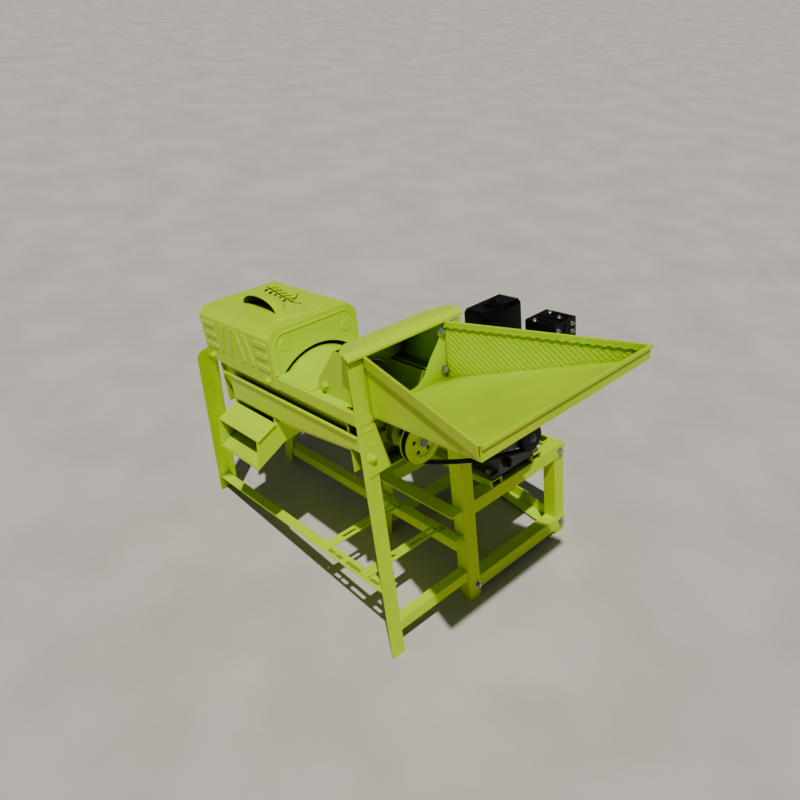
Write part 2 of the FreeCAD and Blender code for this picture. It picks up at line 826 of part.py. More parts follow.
def hood():
    outer = prism("x", hood_outline(0), hood_rear_x, hood_front_x)
    inner = prism("x", hood_outline(sheet), hood_rear_x + sheet, hood_front_x - sheet)
    arch = rod("x", drum_y, drum_z, cover_r + hood_arch_gap, hood_rear_x - sheet, hood_front_x + sheet)
    cover_room = box(hood_rear_x - sheet, hood_front_x + sheet, 0, housing_width - sheet,
                     upper_rail_top - sheet, upper_rail_top + sheet + seat_gap)
    skirt = box(hood_rear_x, hood_front_x, -sheet, 0, hood_skirt_bottom, upper_rail_top)
    foot = box(hood_rear_x, hood_front_x, housing_width - sheet, housing_width + hood_foot,
               upper_rail_top, upper_rail_top + sheet)
    body = outer.cut(inner).cut(arch).cut(cover_room).fuse([skirt, foot])
    body = body.fuse(hood_ribs())
    return body.cut(Part.Compound(hood_vents()))


def hood_ribs():
    height = hood_top - hood_skirt_bottom
    low = hood_skirt_bottom + hood_rib_bottom_share * height
    high = hood_skirt_bottom + hood_rib_top_share * height
    half = hood_rib_width / 2
    ribs = []
    for share in hood_rib_shares:
        x = hood_rear_x + share * hood_length
        lean = math.copysign(hood_rib_lean, 1 / 2 - share)
        points = ((x - half - lean, low), (x + half - lean, low),
                  (x + half + lean, high), (x - half + lean, high))
        ribs.append(prism("y", points, -sheet - hood_rib_raise, -sheet))
    for share in hood_dent_shares:
        x = hood_rear_x + share * hood_length
        for row in hood_dent_row_shares:
            ribs.append(slot("y", x, hood_skirt_bottom + row * height, hood_dent_length, hood_dent_height,
                             -sheet - hood_rib_raise, -sheet))
    return ribs


# The vents are a spine with slanted pairs of slots, like an ear of wheat.
def hood_vents():
    centre = hood_rear_x + grip_centre_share * hood_length - vent_spine_back
    spine = housing_width - vent_spine_in
    low, high = hood_top - hood_chamfer, hood_top + sheet
    cuts = [slot("z", centre, spine, vent_spine_length, vent_spine_width, low, high)]
    pitch = (vent_spine_length - vent_length) / vent_pairs
    for step in range(vent_pairs):
        x = centre + (step + 1 / 2 - vent_pairs / 2) * pitch
        for side in (-1, 1):
            y = spine + side * vent_reach
            leaf = slot("z", x, y, vent_length, vent_width, low, high)
            leaf.rotate(V(x, y, low), V(0, 0, 1), side * vent_splay)
            cuts.append(leaf)
    for cut in cuts:
        cut.rotate(V(centre, spine, low), V(0, 0, 1), vent_turn)
    return cuts


# The ball is turned first, so that its seam and poles stay on the side that is cut away.
def ellipsoid(half_length, depth, rise):
    ball = Part.makeSphere(1)
    ball.rotate(V(0, 0, 0), V(0, 0, 1), grip_seam_turn)
    ball.rotate(V(0, 0, 0), V(1, 0, 0), grip_pole_lean)
    stretch = FreeCAD.Matrix()
    stretch.scale(half_length, depth, rise)
    return ball.transformGeometry(stretch)


def hood_with_grip():
    centre = V(hood_rear_x + grip_centre_share * hood_length, grip_y, hood_top)
    outer = ellipsoid(grip_half_length, grip_depth, grip_rise)
    inner = ellipsoid(grip_half_length - sheet, grip_depth - sheet, grip_rise - sheet)
    for ball in (outer, inner):
        ball.translate(centre)
    keep = box(-reach, reach, grip_y, reach, hood_top - sheet, reach)
    scoop = outer.cut(inner).common(keep)
    save("hood", hood().fuse(scoop))


# Feed head

def throat_curve():
    left, right = [], []
    rise = throat_depth
    for half, height in zip(throat_half_shares, throat_height_shares):
        left.append(V(0, throat_centre - half * throat_half, throat_bottom + height * rise))
        right.append(V(0, throat_centre + half * throat_half, throat_bottom + height * rise))
    curve = Part.BSplineCurve()
    curve.interpolate(left + [V(0, throat_centre, throat_bottom)] + right[::-1])
    top_left, top_right = left[0].add(V(0, 0, steel)), right[0].add(V(0, 0, steel))
    corners = (right[0], top_right, top_left, left[0])
    lines = [Part.makeLine(a, b) for a, b in zip(corners, corners[1:])]
    return Part.Face(Part.Wire([curve.toShape()] + lines))


def feed_throat():
    back = -steel
    body = box(back, back + sheet, leg_flange, body_width - seat_gap,
               throat_bottom - throat_plate_border, hopper_rim)
    opening = throat_curve().extrude(V(2 * overrun, 0, 0))
    opening.translate(V(-overrun, 0, 0))
    save("feed_throat_plate", body.cut(opening))


# The head's roof follows its side plates down to the rails and fits round the drum cover.
def feed_sides():
    fold = [(head_foot_x, upper_rail_top), (head_knee_x, head_knee_z), (head_shoulder_x, leg_top)]
    near_front, far_front = head_front_x, -steel - seat_gap
    far_y = body_width - sheet
    near = prism("y", fold + [(near_front, leg_top), (near_front, upper_rail_top)],
                 head_side_y, head_side_y + sheet)
    far = prism("y", fold + [(far_front, leg_top), (far_front, upper_rail_top)], far_y - sheet, far_y)
    under = [(x + sheet, z) for x, z in reversed(fold)]
    roof = prism("y", fold + under, head_side_y + sheet, far_y - sheet)
    roof = roof.cut(rod("x", drum_y, drum_z, cover_r + seat_gap, -reach, reach))
    save("feed_head_plates", near, far, roof)


def feed_strip():
    inner_front = inner_leg_front + seat_gap
    outer = [(strip_front, hopper_rim), (strip_front, strip_lip_top), (strip_crown_front, strip_crown),
             (strip_crown_back, strip_crown), (strip_back, strip_back_top), (strip_back, leg_top)]
    inner = [(strip_back + sheet, leg_top), (strip_back + sheet, strip_back_top - sheet),
             (strip_crown_back, strip_crown - sheet), (strip_crown_front - sheet / 2, strip_crown - sheet),
             (inner_front, strip_lip_top - sheet / 2), (inner_front, hopper_rim)]
    end_y = body_width + leg_flange + strip_side
    strip = prism("y", outer + inner, -strip_side, end_y)
    for edge, way, along, across in ((end_y, 1, strip_far_corner_x, strip_far_corner_y),
                                     (-strip_side, -1, strip_near_corner_x, strip_near_corner_y)):
        beyond = edge + way * steel
        corner = prism("z", ((strip_back - steel, edge - way * across), (strip_back + along, beyond),
                             (strip_back - steel, beyond)), leg_top - overrun, leg_top + overrun)
        strip = strip.cut(corner)
    save("feed_cover_strip", strip)


# Hopper

def hopper_side(x, near, far):
    return near + (far - near) * x / hopper_length


def hopper_floor_z(x):
    return hopper_floor_in + (hopper_floor_out - hopper_floor_in) * x / hopper_length


def hopper_floor():
    start = seat_gap
    end = hopper_length
    corners = []
    for x, near, far in ((start, hopper_left_in, hopper_left_out), (end, hopper_left_in, hopper_left_out),
                         (end, hopper_right_in, hopper_right_out), (start, hopper_right_in, hopper_right_out)):
        corners.append(V(x, hopper_side(x, near, far), hopper_floor_z(x)))
    bed = Part.Face(Part.makePolygon(corners + [corners[0]])).extrude(V(0, 0, -sheet))
    lip_near = hopper_left_out - sheet
    lip_far = hopper_right_out + sheet
    lip = box(end, end + sheet, lip_near, lip_far, hopper_floor_out - sheet, hopper_rim)
    rim = box(end, end + hopper_flange, lip_near, lip_far, hopper_rim - sheet, hopper_rim)
    drop = box(end + hopper_flange - sheet, end + hopper_flange, lip_near, lip_far,
               hopper_rim - hopper_flange, hopper_rim)
    tab = box(-sheet, start, hopper_left_in + hopper_tab, hopper_right_in - hopper_tab,
              hopper_floor_in - hopper_tab, hopper_floor_in + sheet / 2)
    return bed.fuse([lip, rim, drop, tab])


# The rim is folded over: outwards on the outer wall and inwards on the engine-side wall.
def hopper_wall(near, far, way, hem_at, hem_drop):
    start, end = seat_gap, hopper_length
    run = V(end - start, hopper_side(end, near, far) - hopper_side(start, near, far), 0)
    normal = V(-run.y, run.x, 0)
    normal.normalize()
    out = V(normal.x * way, normal.y * way, 0)
    foot_near = V(start, hopper_side(start, near, far), 0)
    foot_far = V(end, hopper_side(end, near, far), 0)

    def panel(low_near, low_far, high, offset, thick):
        shift = V(out.x * offset, out.y * offset, 0)
        corners = [foot_near + V(0, 0, low_near) + shift, foot_far + V(0, 0, low_far) + shift,
                   foot_far + V(0, 0, high) + shift, foot_near + V(0, 0, high) + shift]
        face = Part.Face(Part.makePolygon(corners + [corners[0]]))
        return face.extrude(V(out.x * thick, out.y * thick, 0))

    wall = panel(hopper_floor_z(start) - sheet, hopper_floor_z(end) - sheet, hopper_rim, 0, sheet)
    cap = panel(hopper_rim - sheet, hopper_rim - sheet, hopper_rim, min(hem_at, 0), abs(hem_at) + sheet)
    hem = panel(hopper_rim - hem_drop, hopper_rim - hem_drop, hopper_rim, hem_at, sheet)
    trim = box(start, end, -reach, reach, -reach, reach)
    return wall.fuse([cap, hem]).common(trim)


def hopper():
    save("hopper_floor", hopper_floor())
    fold = hopper_hem_gap + sheet
    save("hopper_wall_outer", hopper_wall(hopper_left_in, hopper_left_out, -1, fold, hopper_hem_outer))
    save("hopper_wall_engine", hopper_wall(hopper_right_in, hopper_right_out, 1, -fold, hopper_hem))


# Rotor

def rotor():
    shaft_rear = rear_plate_x - shaft_rear_out
    save("drum_shaft", rod("x", drum_y, drum_z, shaft_r, shaft_rear, pulley_front_x + steel))
    shell = tube("x", drum_y, drum_z, drum_r, drum_r - drum_wall, drum_rear_x, drum_front_x)
    ends = [tube("x", drum_y, drum_z, drum_r - drum_wall, shaft_r, x, x + drum_wall)
            for x in (drum_rear_x, drum_front_x - drum_wall)]
    save("drum", shell.fuse(ends).removeSplitter())
    bars = []
    for step in range(bar_count):
        turn = 360 * step / bar_count
        bar = box(drum_rear_x, drum_front_x, drum_y - bar_width / 2, drum_y + bar_width / 2,
                  drum_z + drum_r, drum_z + drum_r + bar_height)
        hug = rod("x", drum_y, drum_z, drum_r, -reach, reach)
        bar = bar.fuse(box(drum_rear_x, drum_front_x, drum_y - bar_width / 2, drum_y + bar_width / 2,
                           drum_z + drum_r - drum_wall / 2, drum_z + drum_r)).cut(hug)
        bar.rotate(V(0, drum_y, drum_z), V(1, 0, 0), turn)
        bars.append(bar)
    pegs = []
    pitch = (drum_front_x - drum_rear_x) / peg_count
    for step in range(peg_count * bar_count):
        row = step % bar_count
        x = drum_rear_x + (step // bar_count + (row + 1 / 2) / bar_count) * pitch
        peg = Part.makeCylinder(peg_r, drum_r + peg_height, V(x, drum_y, drum_z), V(0, 0, 1))
        peg = peg.cut(rod("x", drum_y, drum_z, drum_r, -reach, reach))
        peg.rotate(V(0, drum_y, drum_z), V(1, 0, 0), 360 * (row + 1 / 2) / bar_count)
        pegs.append(peg)
    save("drum_bars", *(bars + pegs))


def grooved_pulley(y, z, radius, rear, front):
    body = rod("x", y, z, radius, rear, front)
    middle = (rear + front) / 2
    half = belt_width / 2 + belt_float
    depth = belt_depth + belt_float
    groove = tube("x", y, z, radius + steel, radius - depth, middle - half, middle + half)
    return body.cut(groove)


def drum_pulley():
    body = grooved_pulley(drum_y, drum_z, pulley_r, pulley_rear_x, pulley_front_x)
    dish_outer = pulley_r - pulley_rim - belt_depth
    for start, end in ((pulley_front_x - pulley_dish, pulley_front_x + steel),
                       (pulley_rear_x - steel, pulley_rear_x + pulley_dish)):
        body = body.cut(tube("x", drum_y, drum_z, dish_outer, pulley_hub_r, start, end))
    for step in range(pulley_hole_count):
        turn = math.radians(360 * step / pulley_hole_count) + math.pi / 2
        y = drum_y + pulley_hole_pitch_r * math.cos(turn)
        z = drum_z + pulley_hole_pitch_r * math.sin(turn)
        hole = rod("x", y, z, pulley_hole_r, pulley_rear_x - steel, pulley_front_x + steel)
        body = body.cut(hole)
    save("drum_pulley", body.cut(rod("x", drum_y, drum_z, shaft_r, -reach, reach)).removeSplitter())


def engine_drive():
    face = engine_front_x
    shaft = rod("x", crank_y, crank_z, crank_shaft_r, face + side_cover_thick, pulley_front_x)
    bolt = rod("x", crank_y, crank_z, washer_r, pulley_front_x, pulley_front_x + washer_thick)
    bolt = bolt.fuse(prism("x", hexagon(crank_y, crank_z), pulley_front_x + washer_thick,
                           pulley_front_x + washer_thick + bolt_head))
    save("crankshaft", shaft.fuse(bolt))
    wheel = grooved_pulley(crank_y, crank_z, engine_pulley_r, pulley_rear_x, pulley_front_x)
    save("engine_pulley", wheel.cut(rod("x", crank_y, crank_z, crank_shaft_r, -reach, reach)))


# The belt runs round the groove floors with a small float: an upper tangent, and a lower run that sags.
def belt():
    big = pulley_r - belt_depth + belt_float
    small = engine_pulley_r - belt_depth + belt_float
    dy, dz = crank_y - drum_y, crank_z - drum_z
    span = math.hypot(dy, dz)
    along = math.atan2(dz, dy)
    lean = math.acos((big - small) / span)

    def loop(grow):
        outer_big, outer_small = big + grow, small + grow

        def at(y, z, radius, turn):
            return V(0, y + radius * math.cos(turn), z + radius * math.sin(turn))

        up, down = along + lean, along - lean
        top_big = at(drum_y, drum_z, outer_big, up)
        low_big = at(drum_y, drum_z, outer_big, down)
        top_small = at(crank_y, crank_z, outer_small, up)
        low_small = at(crank_y, crank_z, outer_small, down)
        back = at(drum_y, drum_z, outer_big, along + math.pi)
        front = at(crank_y, crank_z, outer_small, along)
        middle = (low_big + low_small) * (1 / 2)
        sag = middle + V(0, math.cos(down), math.sin(down)) * belt_sag
        edges = [Part.Arc(top_big, back, low_big).toShape(), Part.Arc(low_big, sag, low_small).toShape(),
                 Part.Arc(low_small, front, top_small).toShape(), Part.makeLine(top_small, top_big)]
        return Part.Face(Part.Wire(edges))

    ring = loop(belt_depth).cut(loop(0))
    solid = ring.extrude(V(belt_width, 0, 0))
    solid.translate(V(belt_x - belt_width / 2, 0, 0))
    save("drive_belt", solid.Solids[0])


# Engine

def crankcase():
    front, rear = engine_front_x, engine_rear_x
    top = engine_base + case_height
    body = box(rear, front, crank_y - case_half, crank_y + case_half, engine_base, top)
    body = rounded(body, case_round, lambda edge: runs_along(edge, V(1, 0, 0)) and edge.BoundBox.ZMax > crank_z)
    foot = box(rear, front, crank_y - base_half, crank_y + base_half, engine_base, engine_base + base_thick)
    body = body.fuse(foot)
    for step in (0, mount_hole_pitch):
        for side in (-1, 1):
            body = body.cut(rod("z", front - mount_hole_front - step, crank_y + side * mount_hole_half,
                                mount_hole_r, engine_base - steel, engine_base + base_thick + steel))
    cover = rod("x", crank_y, crank_z, side_cover_r, front, front + side_cover_thick - side_boss_thick / 2)
    boss = tube("x", crank_y, crank_z, side_boss_r, crank_shaft_r + seat_gap,
                front, front + side_cover_thick + side_boss_thick)
    relief = rod("x", crank_y, crank_z, crank_shaft_r + seat_gap, front - side_cover_thick, front + overrun)
    body = body.fuse([cover, boss])
    neck = rod("x", oil_cap_y, oil_cap_z, oil_cap_r - steel, front, front + side_cover_thick)
    posts = []
    near = crank_y - case_half
    for x in (rear + tank_post, front - 2 * tank_post):
        posts.append(box(x - tank_post / 2, x + tank_post / 2, near, near + tank_post,
                         top - case_round, tank_bottom))
    save("crankcase", body.fuse([neck] + posts).cut(relief).removeSplitter())


def along_cylinder(shape):
    turned = shape.copy()
    turned.rotate(V(0, crank_y, crank_z), V(1, 0, 0), cylinder_rise)
    return turned


def cylinder():
    low_x = engine_rear_x + cylinder_margin
    high_x = engine_front_x - cylinder_margin
    core = box(low_x + cylinder_margin, high_x - cylinder_margin, crank_y + cylinder_start,
               crank_y + cylinder_end, crank_z - cylinder_core, crank_z + cylinder_core)
    pitch = (cylinder_end - cylinder_start - fin_thick) / (fin_count - 1)
    fins = []
    for step in range(fin_count):
        y = crank_y + cylinder_start + step * pitch
        fins.append(box(low_x, high_x, y, y + fin_thick, crank_z - cylinder_half, crank_z + cylinder_half))
    block = along_cylinder(core.fuse(fins))
    case = box(engine_rear_x, engine_front_x, crank_y - case_half, crank_y + case_half, engine_base,
               engine_base + case_height)
    save("cylinder", block.cut(case))
    y0 = crank_y + cylinder_end
    cover = box(low_x + rocker_margin, high_x - rocker_margin, y0, y0 + rocker_depth,
                crank_z - rocker_half, crank_z + rocker_half)
    cover = rounded(cover, rocker_round, lambda edge: edge.BoundBox.YMax > y0 + rocker_round)
    save("rocker_cover", along_cylinder(cover))


def fan_shroud():
    front = engine_rear_x
    rear = front - shroud_depth
    lobe_y = crank_y + shroud_r * 3 / 4
    top = crank_z + shroud_r
    low = engine_base + seat_gap

    def outline(inset):
        drum_part = rod("x", crank_y, crank_z, shroud_r - inset, rear, front)
        duct = box(rear, front, crank_y, lobe_y - inset, crank_z, top - inset)
        base = box(-reach, reach, -reach, reach, -reach, low + inset)
        return drum_part.fuse(duct).cut(base)

    inner = outline(shroud_wall)
    inner.translate(V(shroud_wall, 0, 0))
    switch = rod("x", switch_y, switch_z, switch_r, rear - switch_depth / 2, rear)
    bracket = box(throttle_x + seat_gap, throttle_x + lever_width, throttle_y - lever_width,
                  throttle_y + lever_width, top - steel, throttle_z + lever_width)
    save("fan_shroud", outline(0).cut(inner).fuse([switch, bracket]).removeSplitter())


def recoil_starter():
    face = engine_rear_x - shroud_depth
    rear = face - recoil_depth
    body = rod("x", crank_y, crank_z, recoil_r, rear, face)
    body = body.cut(rod("x", crank_y, crank_z, recoil_r - shroud_wall, rear + shroud_wall, face + steel))
    body = body.fuse(rod("x", crank_y, crank_z, recoil_hub_r, rear - recoil_hub_depth, rear + shroud_wall))
    cuts = []
    for step in range(recoil_vents):
        turn = 360 * step / recoil_vents
        cut = box(rear - steel, rear + recoil_depth / 2, crank_y - recoil_vent_width / 2,
                  crank_y + recoil_vent_width / 2, crank_z + recoil_r - steel - recoil_vent_length,
                  crank_z + recoil_r - steel)
        cut.rotate(V(0, crank_y, crank_z), V(1, 0, 0), turn)
        cuts.append(cut)
    guide_y = crank_y - recoil_guide_offset
    guide_z = crank_z + recoil_guide_offset
    mouth = rear - recoil_guide_length
    guide = rod("x", guide_y, guide_z, recoil_guide_r, mouth, rear + shroud_wall)
    save("recoil_cover", body.cut(Part.Compound(cuts)).fuse(guide))
    start = mouth - seat_gap
    stem = rod("x", guide_y, guide_z, recoil_guide_r - shroud_wall, start - recoil_grip_r, start)
    bar_x = start - 2 * recoil_grip_r + shroud_wall
    half = recoil_grip_length / 2
    bar = rod("z", bar_x, guide_y, recoil_grip_r, guide_z - half, guide_z + half)
    save("recoil_grip", stem.fuse(bar))


def fuel_tank():
    rear = tank_front_x - tank_length
    body = box(rear, tank_front_x, tank_near_y, tank_far_y, tank_bottom, tank_bottom + tank_height)
    body = rounded(body, tank_round, lambda edge: True)
    cap_x = tank_front_x - tank_length / 4
    cap_y = (tank_near_y + tank_far_y) / 2
    top = tank_bottom + tank_height
    neck = rod("z", cap_x, cap_y, filler_r, top - steel, top + filler_height)
    save("fuel_tank", body.fuse(neck))
    base = top + filler_height + seat_gap
    cap = rod("z", cap_x, cap_y, cap_r - cap_lip / 2, base, base + cap_height)
    lip = rod("z", cap_x, cap_y, cap_r, base, base + cap_height - cap_lip)
    save("fuel_cap", cap.fuse(lip))


def air_cleaner():
    base_top = cleaner_bottom + cleaner_base_height
    base = box(cleaner_rear_x, cleaner_front_x, cleaner_near_y, cleaner_far_y, cleaner_bottom, base_top)
    base = rounded(base, cleaner_round, lambda edge: runs_along(edge, V(0, 0, 1)))
    lid = box(cleaner_rear_x, cleaner_front_x, cleaner_near_y, cleaner_far_y, base_top, cleaner_top)
    lid = rounded(lid, cleaner_round, lambda edge: edge.BoundBox.ZMax > base_top + steel)
    centre_x = (cleaner_front_x + cleaner_rear_x) / 2
    centre_y = (cleaner_near_y + cleaner_far_y) / 2
    dome = rod("z", centre_x, centre_y, cleaner_dome_r, cleaner_top - steel, cleaner_top + cleaner_dome_rise)
    save("air_cleaner_base", base)
    save("air_cleaner_cover", lid.fuse(dome))
    top = cleaner_top + cleaner_dome_rise + seat_gap
    knob = rod("z", centre_x, centre_y, knob_r, top, top + knob_height)
    ears = box(centre_x - knob_ear_thick / 2, centre_x + knob_ear_thick / 2, centre_y - knob_ear,
               centre_y + knob_ear, top + knob_height / 3, top + knob_height * 4 / 3)
    save("air_cleaner_knob", knob.fuse(ears))


def carburettor():
    low_x = carb_x - carb_length
    near, far = carb_y - carb_width / 2, carb_y + carb_width / 2
    top = carb_bottom + carb_height
    body = box(low_x, carb_x, near, far, carb_bottom, top)
    body = rounded(body, case_round / 2, lambda edge: runs_along(edge, V(1, 0, 0)))
    bowl = rod("z", low_x + carb_length / 2, carb_y, bowl_r, carb_bottom - bowl_height, carb_bottom + steel)
    duct_z = cleaner_bottom - seat_gap
    duct = rod("z", low_x + carb_length / 2 - elbow_r, carb_y, elbow_r / 2,
               top - bowl_height, duct_z)
    arm = box(low_x - elbow_r, low_x + steel, carb_y - elbow_r / 2, carb_y + elbow_r / 2,
              carb_bottom + carb_height / 4, carb_bottom + carb_height * 3 / 4)
    panel = box(control_x + seat_gap, low_x - elbow_r, near, carb_y + choke_out + 2 * lever_pivot_r,
                control_z - 2 * lever_pivot_r, top)
    flange = box(carb_x, carb_x + steel, near, far, carb_bottom, top)
    save("carburettor", body.fuse([bowl, duct, arm, flange, panel]))


def muffler():
    body = box(muffler_rear_x, muffler_front_x, muffler_near_y, muffler_far_y, muffler_bottom, muffler_top)
    body = rounded(body, muffler_round, lambda edge: not runs_along(edge, V(0, 1, 0)))
    middle = (muffler_near_y + muffler_far_y) / 2
    band = box(muffler_rear_x - muffler_band_raise, muffler_front_x + muffler_band_raise,
               middle - muffler_band / 2, middle + muffler_band / 2,
               muffler_bottom - muffler_band_raise, muffler_top + muffler_band_raise)
    band = rounded(band, muffler_round, lambda edge: runs_along(edge, V(0, 1, 0)))
    centre_x = (muffler_front_x + muffler_rear_x) / 2
    neck = rod("z", centre_x, muffler_near_y + muffler_neck_r * 2, muffler_neck_r,
               carb_bottom - bowl_height, muffler_bottom + steel)
    tail = rod("x", muffler_far_y - muffler_round * 2, muffler_bottom + muffler_round * 2, tail_pipe_r,
               muffler_front_x - steel, muffler_front_x + tail_pipe_length)
    turned = along_cylinder(box(-reach, reach, crank_y, crank_y + cylinder_end + rocker_depth + seat_gap,
                                crank_z - cylinder_half, crank_z + cylinder_half + seat_gap))
    save("muffler", body.fuse([band, tail, neck.cut(turned)]).removeSplitter())


def spark_plug():
    y0 = crank_y + cylinder_end
    start = engine_front_x - cylinder_margin
    body = rod("x", y0 - cylinder_margin * 2, crank_z + cylinder_core / 2, plug_r, start, start + plug_length)
    cap = rod("x", y0 - cylinder_margin * 2, crank_z + cylinder_core / 2, plug_cap_r,
              start + plug_length - plug_cap_length, start + plug_length + steel)
    save("spark_plug_cap", along_cylinder(body.fuse(cap)))


def small_controls():
    face = engine_front_x + side_cover_thick + seat_gap
    cap = rod("x", oil_cap_y, oil_cap_z, oil_cap_r, face, face + oil_cap_height / 2)
    tab = box(face + oil_cap_height / 2, face + oil_cap_height, oil_cap_y - steel / 2, oil_cap_y + steel / 2,
              oil_cap_z - oil_cap_r + steel, oil_cap_z + oil_cap_r - steel)
    save("oil_cap", cap.fuse(tab))
    save("choke_lever", lever(control_x, carb_y + choke_out, control_z, -1))
    save("fuel_valve_lever", lever(control_x, carb_y + valve_out, control_z, -1))
    save("throttle_lever", lever(throttle_x, throttle_y, throttle_z, 1))
    rear = engine_rear_x - shroud_depth - switch_depth / 2 - seat_gap
    knob = rod("x", switch_y, switch_z, switch_r - steel, rear - switch_depth / 3, rear)
    bar = box(rear - switch_depth, rear - switch_depth / 3, switch_y - switch_bar / 2,
              switch_y + switch_bar / 2, switch_z - switch_r / 2, switch_z + switch_r / 2)
    save("stop_switch", knob.fuse(bar))


def lever(x, y, z, way):
    pivot = rod("x", y, z, lever_pivot_r, x - lever_thick, x)
    tip = z + way * lever_length
    arm = box(x - lever_thick, x, y - lever_width / 2, y + lever_width / 2, min(z, tip), max(z, tip))
    grip = rod("x", y, tip, lever_grip_r, x - 2 * lever_grip_r, x)
    return pivot.fuse([arm, grip])


# Fasteners

def frame_bolts():
    bolts = [hex_bolt("x", gusset_boss_y, gusset_boss_height, plate + gusset_boss_raise, 1, 0)]
    bolts.append(hex_bolt("y", head_knee_x + cover_bolt_in, head_knee_z - bolt_head_r, head_side_y, -1, steel))
    for share in hood_bolt_shares:
        bolts.append(hex_bolt("y", hood_rear_x + share * hood_length, upper_rail_top - rail_flange / 2,
                              -sheet, -1, 0))
    for height in (hopper_rim - 2 * hopper_hem, hopper_floor_in + 2 * hopper_hem):
        bolts.append(hex_bolt("x", hopper_right_in - hopper_bolt_edge, height, sheet - steel, 1, 0))
    for share in motor_bar_front_shares:
        x = -share * body_length - rail_flange / 2
        for y in (motor_bar_inset + washer_r, body_width - motor_bar_inset - washer_r):
            bolts.append(hex_bolt("z", x, y, lower_rail_top + steel, 1, 0))
    foot_z = stand_foot_top - leg_flange / 2
    for z in (stand_top - leg_flange / 2, foot_z):
        bolts.append(hex_bolt("x", stand_width - leg_flange / 2, z, stand_front_x, 1, 0))
    bolts.append(hex_bolt("x", body_width + stand_bolt_share * leg_flange, foot_z, inner_leg_front, 1, 0))
    save("frame_bolts", *bolts)


def engine_bolts():
    bolts = []
    face = engine_base + base_thick
    for step in (0, mount_hole_pitch):
        for side in (-1, 1):
            x = engine_front_x - mount_hole_front - step
            y = crank_y + side * mount_hole_half
            head = hex_bolt("z", x, y, face, 1, 0)
            shank = rod("z", x, y, bolt_r, engine_base - engine_bar_wall - bolt_head, face + steel)
            bolts.append(head.fuse(shank))
    save("engine_bolts", *bolts)


def build():
    feed_legs()
    save("outlet_leg_outer", outlet_leg(False))
    save("outlet_leg_inner", outlet_leg(True))
    body_rails()
    motor_bars()
    leg_gusset()
    stand_legs()
    stand_rails()
    engine_bars()
    end_plates()
    drum_bearings()
    drum_cover()
    concave()
    grain_trough()
    spout()
    hood_with_grip()
    feed_throat()
    feed_sides()
    feed_strip()
    hopper()
    rotor()
    drum_pulley()
    engine_drive()
    belt()
    crankcase()
    cylinder()
    fan_shroud()
    recoil_starter()
    fuel_tank()
    air_cleaner()
    carburettor()
    muffler()
    spark_plug()
    small_controls()
    frame_bolts()
    engine_bolts()


build()
everything = Part.Compound(list(parts.values()))
everything.rotate(V(0, 0, 0), V(0, 1, 0), -body_tilt)
bounds = everything.optimalBoundingBox(False)
shift = V(-(bounds.XMin + bounds.XMax) / 2, -(bounds.YMin + bounds.YMax) / 2, -bounds.ZMin)


def finished(shape):
    placed = shape.copy()
    placed.rotate(V(0, 0, 0), V(0, 1, 0), -body_tilt)
    placed.translate(shift)
    return placed


def report_place(name, x, y, z):
    spot = FreeCAD.Rotation(V(0, 1, 0), -body_tilt).multVec(V(x, y, z)).add(shift)
    print("place", name, round(spot.x, 3), round(spot.y, 3), round(spot.z, 3))


for name, shape in parts.items():
    final = finished(shape)
    final.exportStep("parts/" + name + ".step")
    if not final.isValid():
        print("not valid:", name)
print(len(parts), "nodes; box", round(bounds.XLength, 2), round(bounds.YLength, 2), round(bounds.ZLength, 2))
print("shift", round(shift.x, 3), round(shift.y, 3), round(shift.z, 3))
report_place("drum axis", belt_x, drum_y, drum_z)
report_place("crank axis", belt_x, crank_y, crank_z)
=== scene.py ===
import json
import math

import bmesh
import bpy
from mathutils import Matrix, Vector


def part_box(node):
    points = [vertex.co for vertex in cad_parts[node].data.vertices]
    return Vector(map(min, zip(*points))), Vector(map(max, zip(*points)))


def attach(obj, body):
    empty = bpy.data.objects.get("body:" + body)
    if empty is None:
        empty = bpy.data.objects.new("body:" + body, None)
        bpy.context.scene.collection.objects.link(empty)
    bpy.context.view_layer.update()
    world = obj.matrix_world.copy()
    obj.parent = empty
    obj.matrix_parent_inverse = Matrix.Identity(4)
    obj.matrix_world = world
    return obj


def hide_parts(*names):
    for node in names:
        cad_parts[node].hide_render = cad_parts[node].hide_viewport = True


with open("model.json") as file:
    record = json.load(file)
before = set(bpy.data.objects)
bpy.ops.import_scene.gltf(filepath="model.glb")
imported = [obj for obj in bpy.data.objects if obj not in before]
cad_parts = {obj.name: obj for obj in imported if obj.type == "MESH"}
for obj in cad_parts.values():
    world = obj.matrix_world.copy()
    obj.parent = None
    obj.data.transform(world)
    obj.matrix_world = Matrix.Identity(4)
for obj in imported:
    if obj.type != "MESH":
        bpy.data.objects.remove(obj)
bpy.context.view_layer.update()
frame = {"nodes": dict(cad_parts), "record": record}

# The machine is drawn in millimetres in its own body frame, which the stance tilts and shifts.
MM = 0.001
BODY_TILT = math.radians(11.2)
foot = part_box("feed_leg_outer")
LEG_FLANGE = 40.0
ORIGIN = Vector((foot[1].x, foot[1].y - LEG_FLANGE * MM, 0.0))
BODY = Matrix.Translation(ORIGIN) @ Matrix.Rotation(-BODY_TILT, 4, "Y") @ Matrix.Scale(MM, 4)

# Camera, as fitted to the machine's edges in the body frame
CAMERA_PLACE = Vector((1085.77, -734.61, 1378.9))
CAMERA_AZIMUTH = math.radians(51.72)
CAMERA_DIP = math.radians(26.72)
CAMERA_ROLL = math.radians(-7.03)
CAMERA_REACH = 100.0
SENSOR = 36.0
FRAME_PIXELS = 800.0
FOCAL_PIXELS = 713.07

